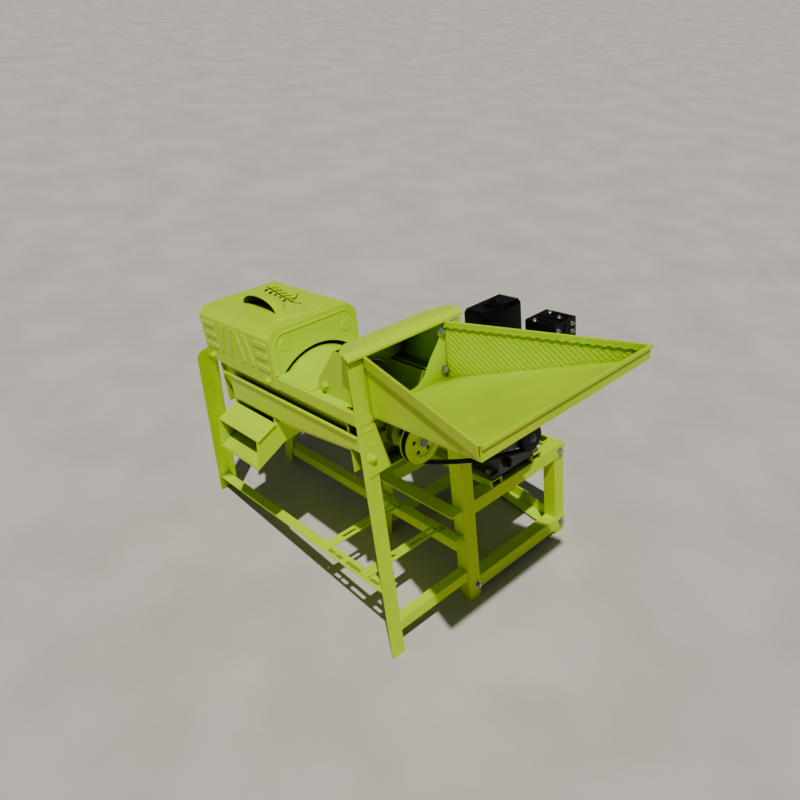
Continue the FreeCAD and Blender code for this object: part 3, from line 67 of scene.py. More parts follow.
# Light: a high key from the feed end, whose shadow falls towards the engine
KEY_FALL = Vector((-239.0, 251.0, -884.0))
KEY_STRENGTH = 3.2
KEY_ANGLE = math.radians(1.2)
FILL_STRENGTH = 0.07
FILL_COLOUR = (0.74, 0.86, 1.0, 1.0)
FLOOR_HALF = 60.0

# What all materials share
COAT_ROUGHNESS = 0.12
SPECULAR_LEVEL = 0.3
WIDE_DETAIL = 6.0
FINE_DETAIL = 4.0
TINT_LOW = 0.32
TINT_HIGH = 0.62

# Painted shade: the paint's colour is darkened where it lies deep in the machine
PAINTED_SHADE_REACH = 0.16
PAINTED_SHADE_FROM = 0.12
PAINTED_SHADE_TO = 0.44
PAINTED_SHADE_DARKEST = 0.06
PAINTED_SHADE_SAMPLES = 8

# Edges and shading of the solids and the added pieces
WELD_REACH = 0.00001
EDGE_WIDTH = 0.8
EDGE_SEGMENTS = 2
EDGE_DEGREES = 30.0
NORMAL_WEIGHT = 100
SHARP_DEGREES = 35.0
NEARLY_UPRIGHT = 0.9

# Fasteners: profiles are pairs of a share of the height and a share of the radius
WASHER_SHARE = 1.45
WASHER_THICK = 2.0
WASHER_PROFILE = ((0.0, 1.0), (0.7, 1.0), (1.0, 0.93))
WASHER_SIDES = 24
HEX_PROFILE = ((0.0, 1.0), (0.8, 1.0), (1.0, 0.82))
HEX_SIDES = 6
THREAD_PROFILE = ((0.0, 0.5), (0.25, 0.44))
THREAD_SIDES = 12
SCREW_PROFILE = ((0.0, 1.0), (0.6, 1.0), (1.0, 0.7), (1.0, 0.35), (0.5, 0.3))
SCREW_SIDES = 14

# Weld beads
BEAD_PITCH = 5.0
BEAD_SWELL = 1.12
BEAD_DIP = 1 - BEAD_SWELL / 6
BEAD_TAPER = 0.45
BEAD_RADIUS = 2.2
BEAD_FEWEST = 3
BEAD_SIDES = 8

# Pressed lines: pairs of a share of the half width and a share of the rise
LINE_PROFILE = ((-1, -0.3), (-0.7, 0.55), (0, 1.0), (0.7, 0.55), (1, -0.3))

# Hopper: the walls' inner faces at the throat and at the lip, the floor's edge and the rim
HOPPER_LENGTH = 424.0
HOPPER_RIM = 817.0
HOPPER_FLOOR_IN = 678.0
HOPPER_FLOOR_OUT = 788.0
OUTER_WALL_IN = 45.0
OUTER_WALL_OUT = -68.0
ENGINE_WALL_IN = 271.0
ENGINE_WALL_OUT = 399.0
SHEET = 2.0

# Tread pattern, and how far it starts below the rim on each side of a wall
TREAD_PITCH = 15.0
TREAD_ROW = 7.0
TREAD_SLANT = 34.0
TREAD_LENGTH = 13.5
TREAD_WIDTH = 3.6
TREAD_RISE = 0.8
TREAD_ROW_START = 0.6
TREAD_BELOW_FLANGE = 26.0
TREAD_BELOW_HEM = 14.0
TREAD_BELOW_RIM = 4.0
LOZENGE = ((1, 0), (0.5, 1), (-0.5, 1), (-1, 0), (-0.5, -1), (0.5, -1))
LOZENGE_TOP_LENGTH = 0.36
LOZENGE_TOP_WIDTH = 0.26

# Wavy cut edge of the hem
HEM_FOOT = 805.0
HEM_BACK = 2.6
HEM_OUT = 4.4
WAVE_DROP = 1.6
WAVE_SWING = 1.5
WAVE_PITCH = 21.0
WAVE_STEP = 3.0

# Frame: flanges, walls and heights that the seams and bolts follow
RAIL_FLANGE = 30.0
LEG_WALL = 4.0
HOUSING_WIDTH = 278.0
UPPER_RAIL = 698.0
LOWER_RAIL = 217.0
FOOT_RAIL = 101.5
STAND_RAIL = 308.0
STAND_FOOT_RAIL = 61.0
STAND_FAR = 694.0
STAND_SEAM_FROM = -39.0
STAND_SEAM_TO = -3.0
SEAM_OFF = 1.0

# Frame bolts
FRAME_BOLT_RADIUS = 8.0
FRAME_BOLT_HEIGHT = 6.0
GUSSET_BOLT = (5.0, 24.0, 585.0)
SIDE_PLATE_BOLT = (-133.3, 26.0, 719.0)
SKIRT_BOLT_SHARES = (0.1, 0.9)
SKIRT_BOLT_Z = 683.0
LOWER_RAIL_LENGTH = 793.6
MOTOR_BAR_SHARES = (0.292, 0.086)
MOTOR_BAR_HALF = 15.0
MOTOR_BAR_BOLTS_Y = (16.0, 262.0)
MOTOR_BAR_BOLT_Z = 221.0
THROAT_BOLT_PLACES = ((-2.0, 262.0, 793.0), (-2.0, 262.0, 702.0))
STAND_BOLT_PLACES = ((1.0, 674.0, 288.0), (1.0, 674.0, 41.0), (5.0, 308.0, 41.0))

# Hood
HOOD_FRONT = -305.0
HOOD_REAR = -648.0
HOOD_LENGTH = 343.0
HOOD_FAR = 257.0
HOOD_TOP = 812.0
HOOD_CHAMFER = 19.5
HOOD_PANEL_LOW = 700.0
PANEL_INSET = 13.0
PANEL_SIDE_SHARE = 0.9
PANEL_LINE_HALF = 3.2
PANEL_LINE_RISE = 2.2
BOSS_PLACES = ((38.0, 768.0), (219.0, 759.0))
BOSS_PROFILE = ((-0.5, 15.0), (1.2, 13.5), (1.8, 11.0), (1.2, 8.5), (1.4, 3.0))
BOSS_SIDES = 28
TOP_LINES = (
    ((-362.0, 50.0), (-345.0, 110.0), (-334.0, 170.0)),
    ((-582.0, 55.0), (-598.0, 85.0), (-608.0, 109.0)),
    ((-361.0, 111.0), (-368.0, 135.0), (-383.0, 154.0), (-402.0, 160.0)),
)
TOP_LINE_HALF = 3.4
TOP_LINE_RISE = 2.0
# Stem grooves on the hood top, drawn as black strips: painted shade inside the grooves
STEM_LINES = (
    ((-443.0, 160.0), (-462.0, 186.0), (-486.0, 210.0)),
    ((-443.0, 160.0), (-407.0, 168.0)),
)
STEM_HALF = 2.0
STEM_RISE = 0.7

# Crease along the cover strip
STRIP_TOP = 833.0
STRIP_MIDDLE = -19.0
CREASE = ((90.0, 0.0), (130.0, 3.0), (170.0, 4.0), (210.0, 3.0), (250.0, 0.0))
CREASE_HALF = 3.0
CREASE_RISE = 1.8

# Pressing in the gusset plate
GUSSET_FACE = 3.0
GUSSET_LOOP = ((12.0, 652.0), (38.0, 652.0), (43.0, 640.0), (50.0, 612.0), (22.0, 612.0), (12.0, 640.0))
GUSSET_LINE_HALF = 2.2
GUSSET_LINE_RISE = 1.8

# Crankcase and starter
CRANK = (491.0, 435.0)
SIDE_COVER_CENTRE = (491.0, 436.0)
CRANKCASE_FRONT = -4.0
CRANKCASE_REAR = -130.0
COVER_RING_OUT = 6.0
COVER_BOLT_RADII = (64.0, 47.0)
COVER_BOLT_RADIUS = 4.4
COVER_BOLT_HEIGHT = 4.0
SHROUD_DEPTH = 62.0
RECOIL_DEPTH = 40.0
RECOIL_RADIUS = 70.0
SHROUD_RADIUS = 94.0
SHROUD_TURN = 0.4
RECOIL_SCREW_RADIUS = 4.2
RECOIL_SCREW_HEIGHT = 3.6
HUB_RINGS = 3
HUB_OUT = 5.0
HUB_RADII = (22.0, 21.0, 18.0)
HUB_STEP_IN = 6
HUB_STEP_OUT = 0.6
HUB_EDGE = 1.0
HUB_CROWN = 1.2
HUB_SIDES = 36

# Muffler
MUFFLER_FRONT = 8.0
MUFFLER_REAR = -88.0
MUFFLER_NEAR = 637.0
MUFFLER_FAR = 750.0
MUFFLER_LOW = 586.0
MUFFLER_TOP = 678.0
MUFFLER_TOP_BOLTS = ((-60.0, 653.0), (-19.0, 703.0), (-64.0, 722.0))
MUFFLER_FRONT_BOLTS = ((662.0, 660.0), (722.0, 662.0), (722.0, 640.0))
MUFFLER_BOLT_RADIUS = 4.6
MUFFLER_BOLT_HEIGHT = 4.2
MUFFLER_RIB_NEAR = 30.0
MUFFLER_RIB_FAR = 26.0
MUFFLER_RIB_LOW = 18.0
MUFFLER_RIB_TOP = 20.0
MUFFLER_RIB_ENDS = 16.0
MUFFLER_RIB_HALF = 3.0
MUFFLER_RIB_RISE = 2.0

# Air cleaner
CLEANER_FRONT = -153.0
CLEANER_REAR = -239.0
CLEANER_NEAR = 563.0
CLEANER_FAR = 717.0
CLEANER_TOP = 704.0
CLEANER_KNOB = 5
CLEANER_RING = ((-1.0, 37.0), (0.9, 35.5), (1.6, 33.0), (0.9, 30.5), (0.9, 27.0))
CLEANER_RING_SIDES = 48
KNOB_RING = ((-1.0, 20.0), (1.0, 19.0), (1.6, 16.0), (1.0, 13.0))
KNOB_RING_SIDES = 40
CLEANER_MARGIN = 9.0
CLEANER_LINE_HALF = 2.0
CLEANER_LINE_RISE = 1.0

# Cylinder, which leans back from the crank, and the bolts of its rocker cover
CYLINDER_LEAN = math.radians(25.0)
ROCKER_OUT = 198.0
ROCKER_BOLTS_X = (-82.0, -52.0)
ROCKER_BOLTS_Z = (-20.0, 20.0)
ROCKER_BOLT_RADIUS = 4.4
ROCKER_BOLT_HEIGHT = 4.0

# Hub of the drum's pulley
DRUM_PULLEY_FACE = (53.0, 128.5, 593.0)
DRUM_HUB_PROFILE = ((-0.5, 14.5), (3.6, 14.0), (4.4, 12.5))
DRUM_HUB_SIDES = 32


# Materials

def linear(red, green, blue):
    def one(value):
        value /= 255
        return value / 12.92 if value <= 0.04045 else ((value + 0.055) / 1.055) ** 2.4
    return one(red), one(green), one(blue), 1.0


def painted_deep_shade(nodes, links, colour):
    """The colour with painted shade: darker where the surface is closed in on all sides."""
    open_air = nodes.new("ShaderNodeAmbientOcclusion")
    open_air.samples = PAINTED_SHADE_SAMPLES
    open_air.inputs["Distance"].default_value = PAINTED_SHADE_REACH
    share = nodes.new("ShaderNodeMapRange")
    share.inputs["From Min"].default_value = PAINTED_SHADE_FROM
    share.inputs["From Max"].default_value = PAINTED_SHADE_TO
    share.inputs["To Min"].default_value = PAINTED_SHADE_DARKEST
    mixed = nodes.new("ShaderNodeVectorMath")
    mixed.operation = "SCALE"
    links.new(open_air.outputs["AO"], share.inputs["Value"])
    links.new(colour, mixed.inputs[0])
    links.new(share.outputs["Result"], mixed.inputs["Scale"])
    return mixed.outputs["Vector"]


def noise(nodes, scale, detail):
    made = nodes.new("ShaderNodeTexNoise")
    made.inputs["Scale"].default_value = scale
    made.inputs["Detail"].default_value = detail
    return made


def material(name, light, dark, roughness, spread, metallic=0.0, grain=60.0, bump=0.0, coat=0.0,
             patch=7.0, painted_shade=False):
    """A finish whose colour drifts from light to dark in patches, with fine grain in its gloss and relief."""
    made = bpy.data.materials.new(name)
    made.use_nodes = True
    nodes, links = made.node_tree.nodes, made.node_tree.links
    shader = nodes["Principled BSDF"]
    shader.inputs["Metallic"].default_value = metallic
    shader.inputs["Coat Weight"].default_value = coat
    shader.inputs["Coat Roughness"].default_value = COAT_ROUGHNESS
    shader.inputs["Specular Tint"].default_value = light
    shader.inputs["Specular IOR Level"].default_value = SPECULAR_LEVEL
    where = nodes.new("ShaderNodeTexCoord")
    wide = noise(nodes, patch, WIDE_DETAIL)
    fine = noise(nodes, grain, FINE_DETAIL)
    tint = nodes.new("ShaderNodeValToRGB")
    for element, position, shade in zip(tint.color_ramp.elements, (TINT_LOW, TINT_HIGH), (dark, light)):
        element.position = position
        element.color = shade
    gloss = nodes.new("ShaderNodeMapRange")
    gloss.inputs["To Min"].default_value = roughness - spread
    gloss.inputs["To Max"].default_value = roughness + spread
    for pattern in (wide, fine):
        links.new(where.outputs["Object"], pattern.inputs["Vector"])
    links.new(wide.outputs["Fac"], tint.inputs["Fac"])
    colour = tint.outputs["Color"]
    # Painted shade: the colour is darkened by an ambient occlusion node where the paint lies deep
    if painted_shade:
        colour = painted_deep_shade(nodes, links, colour)
    links.new(colour, shader.inputs["Base Color"])
    links.new(fine.outputs["Fac"], gloss.inputs["Value"])
    links.new(gloss.outputs["Result"], shader.inputs["Roughness"])
    if bump:
        relief = nodes.new("ShaderNodeBump")
        relief.inputs["Strength"].default_value = bump
        relief.inputs["Distance"].default_value = MM
        links.new(fine.outputs["Fac"], relief.inputs["Height"])
        links.new(relief.outputs["Normal"], shader.inputs["Normal"])
    return made


def lime_paint():
    # Painted shade is added where this paint lies deep
    return material("lime paint", linear(206, 240, 0), linear(196, 232, 0), 0.42, 0.08,
                    grain=220.0, bump=0.1, coat=0.05, painted_shade=True)


def tread_paint():
    # Painted shade is added where this paint lies deep
    return material("lime paint on tread plate", linear(200, 234, 0), linear(186, 222, 0), 0.42, 0.08,
                    grain=220.0, bump=0.1, coat=0.05, painted_shade=True)


def black_enamel():
    return material("black enamel", linear(14, 14, 15), linear(9, 9, 10), 0.25, 0.08,
                    grain=180.0, bump=0.1, coat=0.3)


def cast_alloy():
    return material("grey cast alloy", linear(112, 112, 110), linear(92, 92, 90), 0.5, 0.1,
                    metallic=0.2, grain=420.0, bump=0.5)


def heat_black():
    return material("heat-proof black", linear(16, 16, 16), linear(11, 11, 11), 0.4, 0.1,
                    grain=380.0, bump=0.35)


def black_plastic():
    return material("black plastic", linear(15, 15, 16), linear(10, 10, 11), 0.36, 0.08,
                    grain=520.0, bump=0.25)


def red_plastic():
    return material("red plastic", linear(178, 24, 20), linear(150, 18, 16), 0.35, 0.06,
                    grain=300.0, bump=0.1)


def belt_rubber():
    return material("belt rubber", linear(26, 26, 26), linear(17, 17, 17), 0.72, 0.1,
                    grain=640.0, bump=0.5)


def bright_zinc():
    return material("bright zinc", linear(206, 206, 202), linear(168, 168, 164), 0.28, 0.08,
                    metallic=0.9, grain=340.0, bump=0.2, patch=90.0)


def turned_steel():
    return material("turned steel", linear(132, 130, 126), linear(98, 96, 93), 0.4, 0.08,
                    metallic=0.95, grain=300.0, bump=0.2, patch=60.0)


def dark_iron():
    return material("dark iron", linear(62, 62, 62), linear(42, 41, 40), 0.5, 0.1,
                    metallic=0.7, grain=420.0, bump=0.5)


def worn_paint():
    # Painted shade is added where this paint lies deep, on top of the patches of wear
    return material("worn lime paint", linear(196, 216, 4), linear(140, 150, 30), 0.45, 0.1,
                    grain=260.0, bump=0.25, patch=22.0, painted_shade=True)


def pale_floor():
    return material("pale floor", linear(212, 202, 191), linear(197, 187, 176), 0.85, 0.06,
                    grain=900.0, bump=0.3, patch=3.0)


PAINT = lime_paint()
TREAD = tread_paint()
GLOSS_BLACK = black_enamel()
CAST = cast_alloy()
HEAT_BLACK = heat_black()
PLASTIC = black_plastic()
RED_PLASTIC = red_plastic()
RUBBER = belt_rubber()
ZINC = bright_zinc()
STEEL = turned_steel()
IRON = dark_iron()
ROTOR_PAINT = worn_paint()
FLOOR = pale_floor()

SLOT_MATERIALS = {
    "frame_paint": PAINT, "sheet_paint": PAINT, "tread_paint": TREAD, "rotor_paint": ROTOR_PAINT,
    "bare_steel": STEEL, "zinc_steel": ZINC, "dark_iron": IRON, "rubber_belt": RUBBER, "cast_alloy": CAST,
    "engine_paint": GLOSS_BLACK, "muffler_paint": HEAT_BLACK, "black_plastic": PLASTIC,
    "red_plastic": RED_PLASTIC,
}


# Finishing of the carried-over solids: welded seams, small rounded edges and even shading

def soften(obj):
    weld = obj.modifiers.new("weld", "WELD")
    weld.merge_threshold = WELD_REACH
    bevel = obj.modifiers.new("bevel", "BEVEL")
    bevel.width = EDGE_WIDTH * MM
    bevel.segments = EDGE_SEGMENTS
    bevel.limit_method = "ANGLE"
    bevel.angle_limit = math.radians(EDGE_DEGREES)
    bevel.harden_normals = True
    bevel.use_clamp_overlap = True
    even = obj.modifiers.new("even", "WEIGHTED_NORMAL")
    even.mode = "FACE_AREA"
    even.weight = NORMAL_WEIGHT
    for face in obj.data.polygons:
        face.use_smooth = True


def finish_nodes():
    for part in frame["record"]["subparts"]:
        node = frame["nodes"][part["node"]]
        node.data.materials.clear()
        node.data.materials.append(SLOT_MATERIALS[part["material_slot"]])
        soften(node)


# Small pieces added to the solids, with places in the body frame

def piece(name, shape, paint, body="machine"):
    mesh = bpy.data.meshes.new(name)
    bmesh.ops.recalc_face_normals(shape, faces=shape.faces)
    shape.to_mesh(mesh)
    shape.free()
    mesh.transform(BODY)
    mesh.materials.append(paint)
    for face in mesh.polygons:
        face.use_smooth = True
    obj = bpy.data.objects.new(name, mesh)
    bpy.context.scene.collection.objects.link(obj)
    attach(obj, body)
    obj.data.set_sharp_from_angle(angle=math.radians(SHARP_DEGREES))
    return obj


def ring(shape, centre, first, second, radius, sides):
    points = []
    for step in range(sides):
        turn = 2 * math.pi * step / sides
        points.append(shape.verts.new(centre + (first * math.cos(turn) + second * math.sin(turn)) * radius))
    return points


def bridge(shape, low, high):
    count = len(low)
    for step in range(count):
        after = (step + 1) % count
        shape.faces.new((low[step], low[after], high[after], high[step]))


def skin(shape, rings):
    """A closed form through the rings, with a face over each end."""
    for low, high in zip(rings, rings[1:]):
        bridge(shape, low, high)
    shape.faces.new(rings[0][::-1])
    shape.faces.new(rings[-1])


def across(axis):
    helper = Vector((0, 0, 1)) if abs(axis.z) < NEARLY_UPRIGHT else Vector((1, 0, 0))
    first = axis.cross(helper).normalized()
    return first, axis.cross(first).normalized()


def turned(shape, base, axis, profile, sides):
    """A turned form: profile is (height along the axis, radius) from the base up."""
    axis = Vector(axis).normalized()
    first, second = across(axis)
    skin(shape, [ring(shape, Vector(base) + axis * height, first, second, radius, sides)
                 for height, radius in profile])


def sized(profile, height, radius):
    return [(height * a, radius * b) for a, b in profile]


def hex_head(shape, base, axis, radius, height):
    """A washer, a chamfered hexagon and the end of the thread."""
    axis = Vector(axis).normalized()
    base = Vector(base)
    washer = radius * WASHER_SHARE
    turned(shape, base, axis, sized(WASHER_PROFILE, WASHER_THICK, washer), WASHER_SIDES)
    start = base + axis * WASHER_THICK
    turned(shape, start, axis, sized(HEX_PROFILE, height, radius), HEX_SIDES)
    turned(shape, start + axis * height, axis, sized(THREAD_PROFILE, height, radius), THREAD_SIDES)


def bolts(name, places, radius, height, paint=None):
    shape = bmesh.new()
    for base, axis in places:
        hex_head(shape, base, axis, radius, height)
    return piece(name, shape, paint or ZINC)


def screws(name, places, radius, height):
    shape = bmesh.new()
    for base, axis in places:
        turned(shape, base, axis, sized(SCREW_PROFILE, height, radius), SCREW_SIDES)
    return piece(name, shape, ZINC)


def weld_bead(shape, start, end):
    start, end = Vector(start), Vector(end)
    length = (end - start).length
    axis = (end - start).normalized()
    first, second = across(axis)
    last = 2 * max(BEAD_FEWEST, round(length / BEAD_PITCH))
    rings = []
    for step in range(last + 1):
        swell = BEAD_SWELL if step % 2 else BEAD_DIP
        taper = BEAD_TAPER if step in (0, last) else 1.0
        centre = start + axis * length * step / last
        rings.append(ring(shape, centre, first, second, BEAD_RADIUS * swell * taper, BEAD_SIDES))
    skin(shape, rings)


def strip_along(shape, points, axis_out, half, rise):
    """A raised rounded line through points that lie on a flat panel whose normal is axis_out."""
    out = Vector(axis_out)
    rings = []
    for step, point in enumerate(points):
        before = Vector(points[max(step - 1, 0)])
        after = Vector(points[min(step + 1, len(points) - 1)])
        side = (after - before).normalized().cross(out).normalized()
        centre = Vector(point)
        rings.append([shape.verts.new(centre + side * a * half + out * b * rise) for a, b in LINE_PROFILE])
    skin(shape, rings)


# Tread plate on the hopper's two walls, inside and outside

def lozenge(shape, centre, along, wide, out):
    low = [shape.verts.new(centre + along * a * TREAD_LENGTH / 2 + wide * b * TREAD_WIDTH / 2)
           for a, b in LOZENGE]
    high = [shape.verts.new(centre + out * TREAD_RISE + along * a * TREAD_LENGTH * LOZENGE_TOP_LENGTH
                            + wide * b * TREAD_WIDTH * LOZENGE_TOP_WIDTH) for a, b in LOZENGE]
    bridge(shape, low, high)
    shape.faces.new(high)


def tread(name, near, far, side, offset, top):
    shape = bmesh.new()
    run = Vector((HOPPER_LENGTH, far - near, 0))
    length = run.length
    along = run.normalized()
    upward = Vector((0, 0, 1))
    out = upward.cross(along) * side
    start = Vector((0, near, 0)) + out * offset
    tilt = -math.radians(TREAD_SLANT)
    stud_along = along * math.cos(tilt) + upward * math.sin(tilt)
    stud_wide = upward * math.cos(tilt) - along * math.sin(tilt)
    rows = round((HOPPER_RIM - HOPPER_FLOOR_IN) / TREAD_ROW)
    for column in range(round(length / TREAD_PITCH)):
        for row in range(rows):
            s = (column + 0.5 + 0.5 * (row % 2)) * TREAD_PITCH
            z = HOPPER_RIM - top - (row + TREAD_ROW_START) * TREAD_ROW
            floor = HOPPER_FLOOR_IN + (HOPPER_FLOOR_OUT - HOPPER_FLOOR_IN) * s / length
            if z >= floor + TREAD_ROW * TREAD_ROW_START and s <= length - TREAD_PITCH / 2:
                lozenge(shape, start + along * s + upward * z, stud_along, stud_wide, out)
    return piece(name, shape, TREAD)


def hem_edge(near, far):
    """The hem's cut lower edge, which is wavy."""
    run = Vector((HOPPER_LENGTH, far - near, 0))
    along = run.normalized()
    out = along.cross(Vector((0, 0, 1)))
    high = HEM_FOOT + WAVE_DROP
    shape = bmesh.new()
    rings = []
    count = round(run.length / WAVE_STEP)
    for step in range(count + 1):
        s = run.length * step / count
        low = HEM_FOOT - WAVE_DROP - WAVE_SWING * math.cos(2 * math.pi * s / WAVE_PITCH)
        base = Vector((0, near, 0)) + along * s
        spots = ((HEM_BACK, high), (HEM_OUT, high), (HEM_OUT, low), (HEM_BACK, low))
        rings.append([shape.verts.new(base + out * a + Vector((0, 0, z))) for a, z in spots])
    skin(shape, rings)
    piece("hopper_hem_edge", shape, TREAD)


def hopper_details():
    outer, engine = (OUTER_WALL_IN, OUTER_WALL_OUT), (ENGINE_WALL_IN, ENGINE_WALL_OUT)
    tread("tread_outer_wall_outside", *outer, -1, SHEET, TREAD_BELOW_FLANGE)
    tread("tread_outer_wall_inside", *outer, 1, 0.0, TREAD_BELOW_RIM)
    tread("tread_engine_wall_inside", *engine, -1, 0.0, TREAD_BELOW_HEM)
    tread("tread_engine_wall_outside", *engine, 1, SHEET, TREAD_BELOW_RIM)
    hem_edge(*engine)


# Weld seams where the bars meet the legs

def weld_seams():
    rail, leg, wall, width = RAIL_FLANGE, LEG_FLANGE, LEG_WALL, HOUSING_WIDTH
    stand_near = STAND_FAR - leg
    seams = [
        ((-wall, 0, UPPER_RAIL - rail), (-wall, 0, UPPER_RAIL)),
        ((-wall, 0, UPPER_RAIL), (-wall, rail, UPPER_RAIL)),
        ((-wall, rail, LOWER_RAIL - rail), (-wall, rail, LOWER_RAIL)),
        ((-wall, SEAM_OFF, LOWER_RAIL), (-wall, rail, LOWER_RAIL)),
        ((-wall, width - rail, LOWER_RAIL), (-wall, width, LOWER_RAIL)),
        ((0, leg, FOOT_RAIL - rail), (0, leg, FOOT_RAIL)),
        ((-rail, leg, FOOT_RAIL), (0, leg, FOOT_RAIL)),
        ((0, width, FOOT_RAIL - rail), (0, width, FOOT_RAIL)),
        ((SEAM_OFF, width + wall, STAND_RAIL - leg), (SEAM_OFF, width + wall, STAND_RAIL)),
        ((SEAM_OFF, width + wall, STAND_FOOT_RAIL - leg), (SEAM_OFF, width + wall, STAND_FOOT_RAIL)),
        ((STAND_SEAM_FROM, stand_near, STAND_FOOT_RAIL), (STAND_SEAM_TO, stand_near, STAND_FOOT_RAIL)),
    ]
    shape = bmesh.new()
    for start, end in seams:
        weld_bead(shape, start, end)
    piece("weld_seams", shape, PAINT)


# Hood: a raised line round each end panel, pressed bosses, and lines on top, with black strips as painted
# shade in the grooves of the stem

def panel_line():
    low, top, chamfer, far = HOOD_PANEL_LOW, HOOD_TOP, HOOD_CHAMFER, HOOD_FAR
    outline = [(0, low), (0, top - chamfer), (chamfer, top)]
    outline += [(far - chamfer, top), (far, top - chamfer), (far, low)]
    points = []
    for y, z in outline:
        y += PANEL_INSET * (1 if y < far / 2 else -1) * PANEL_SIDE_SHARE
        z -= PANEL_INSET if z > (top + low) / 2 else 0
        points.append((y, z))
    return points


def top_lines(shape, lines, half, rise):
    for line in lines:
        strip_along(shape, [(x, y, HOOD_TOP) for x, y in line], (0, 0, 1), half, rise)


def hood_details():
    ends = ((HOOD_FRONT, 1), (HOOD_REAR, -1))
    shape = bmesh.new()
    for x, way in ends:
        line = [(x, y, z) for y, z in panel_line()]
        strip_along(shape, line, (way, 0, 0), PANEL_LINE_HALF, PANEL_LINE_RISE)
    for y, z in BOSS_PLACES:
        for x, way in ends:
            turned(shape, (x, y, z), (way, 0, 0), BOSS_PROFILE, BOSS_SIDES)
    top_lines(shape, TOP_LINES, TOP_LINE_HALF, TOP_LINE_RISE)
    piece("hood_pressings", shape, PAINT)
    # Painted shade: black strips where the stem grooves lie in shade
    groove_shade_strips = bmesh.new()
    top_lines(groove_shade_strips, STEM_LINES, STEM_HALF, STEM_RISE)
    piece("hood_stem_groove_shade", groove_shade_strips, HEAT_BLACK)


def strip_details():
    shape = bmesh.new()
    strip_along(shape, [(STRIP_MIDDLE + bow, y, STRIP_TOP) for y, bow in CREASE], (0, 0, 1),
                CREASE_HALF, CREASE_RISE)
    piece("cover_strip_crease", shape, PAINT)


def frame_bolt_heads():
    painted = [(GUSSET_BOLT, (1, 0, 0)), (SIDE_PLATE_BOLT, (0, -1, 0))]
    painted += [((HOOD_REAR + share * HOOD_LENGTH, -SHEET, SKIRT_BOLT_Z), (0, -1, 0))
                for share in SKIRT_BOLT_SHARES]
    painted += [((-share * LOWER_RAIL_LENGTH - MOTOR_BAR_HALF, y, MOTOR_BAR_BOLT_Z), (0, 0, 1))
                for share in MOTOR_BAR_SHARES for y in MOTOR_BAR_BOLTS_Y]
    bright = [(place, (1, 0, 0)) for place in THROAT_BOLT_PLACES + STAND_BOLT_PLACES]
    heads = bolts("frame_bolts_painted", painted, FRAME_BOLT_RADIUS, FRAME_BOLT_HEIGHT, paint=PAINT)
    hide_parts("frame_bolts")
    bolts("frame_bolts_bright", bright, FRAME_BOLT_RADIUS, FRAME_BOLT_HEIGHT)


def gusset_details():
    shape = bmesh.new()
    strip_along(shape, [(GUSSET_FACE, y, z) for y, z in GUSSET_LOOP + GUSSET_LOOP[:1]], (1, 0, 0),
                GUSSET_LINE_HALF, GUSSET_LINE_RISE)
    piece("gusset_pressing", shape, PAINT)


# Engine

def circle_places(axis, along, centre, radius, count, start=0.0):
    places = []
    for step in range(count):
        turn = 2 * math.pi * step / count + start
        u, v = centre[0] + radius * math.cos(turn), centre[1] + radius * math.sin(turn)
        places.append(((along, u, v), axis))
    return places


def side_cover_bolts():
    front, back = (1, 0, 0), CRANKCASE_FRONT
    outer, inner = COVER_BOLT_RADII
    places = circle_places(front, back, SIDE_COVER_CENTRE, outer, 4, math.pi / 4)
    places += circle_places(front, back + COVER_RING_OUT, CRANK, inner, 4)
    bolts("side_cover_bolts", places, COVER_BOLT_RADIUS, COVER_BOLT_HEIGHT)


def starter_details():
    shroud_face = CRANKCASE_REAR - SHROUD_DEPTH
    recoil_face = shroud_face - RECOIL_DEPTH
    rear = (-1, 0, 0)
    places = circle_places(rear, recoil_face, CRANK, RECOIL_RADIUS, 3, math.pi / 2)
    places += circle_places(rear, shroud_face, CRANK, SHROUD_RADIUS, 4, SHROUD_TURN)
    screws("recoil_screws", places, RECOIL_SCREW_RADIUS, RECOIL_SCREW_HEIGHT)
    shape = bmesh.new()
    for step in range(HUB_RINGS):
        inward, outward = HUB_STEP_IN * step, HUB_STEP_OUT * step
        base, edge, crown = (radius - inward for radius in HUB_RADII)
        turned(shape, (recoil_face - HUB_OUT, *CRANK), rear,
               ((0, base), (HUB_EDGE + outward, edge), (HUB_CROWN + outward, crown)), HUB_SIDES)
    piece("recoil_hub_rings", shape, GLOSS_BLACK)


def muffler_details():
    front, rear, top = MUFFLER_FRONT, MUFFLER_REAR, MUFFLER_TOP
    places = [((x, y, top), (0, 0, 1)) for x, y in MUFFLER_TOP_BOLTS]
    places += [((front, y, z), (1, 0, 0)) for y, z in MUFFLER_FRONT_BOLTS]
    bolts("muffler_bolts", places, MUFFLER_BOLT_RADIUS, MUFFLER_BOLT_HEIGHT)
    shape = bmesh.new()
    for y in (MUFFLER_NEAR + MUFFLER_RIB_NEAR, MUFFLER_FAR - MUFFLER_RIB_FAR):
        upright = [(front, y, MUFFLER_LOW + MUFFLER_RIB_LOW), (front, y, top - MUFFLER_RIB_TOP)]
        level = [(rear + MUFFLER_RIB_ENDS, y, top), (front - MUFFLER_RIB_ENDS, y, top)]
        strip_along(shape, upright, (1, 0, 0), MUFFLER_RIB_HALF, MUFFLER_RIB_RISE)
        strip_along(shape, level, (0, 0, 1), MUFFLER_RIB_HALF, MUFFLER_RIB_RISE)
    piece("muffler_ribs", shape, HEAT_BLACK)


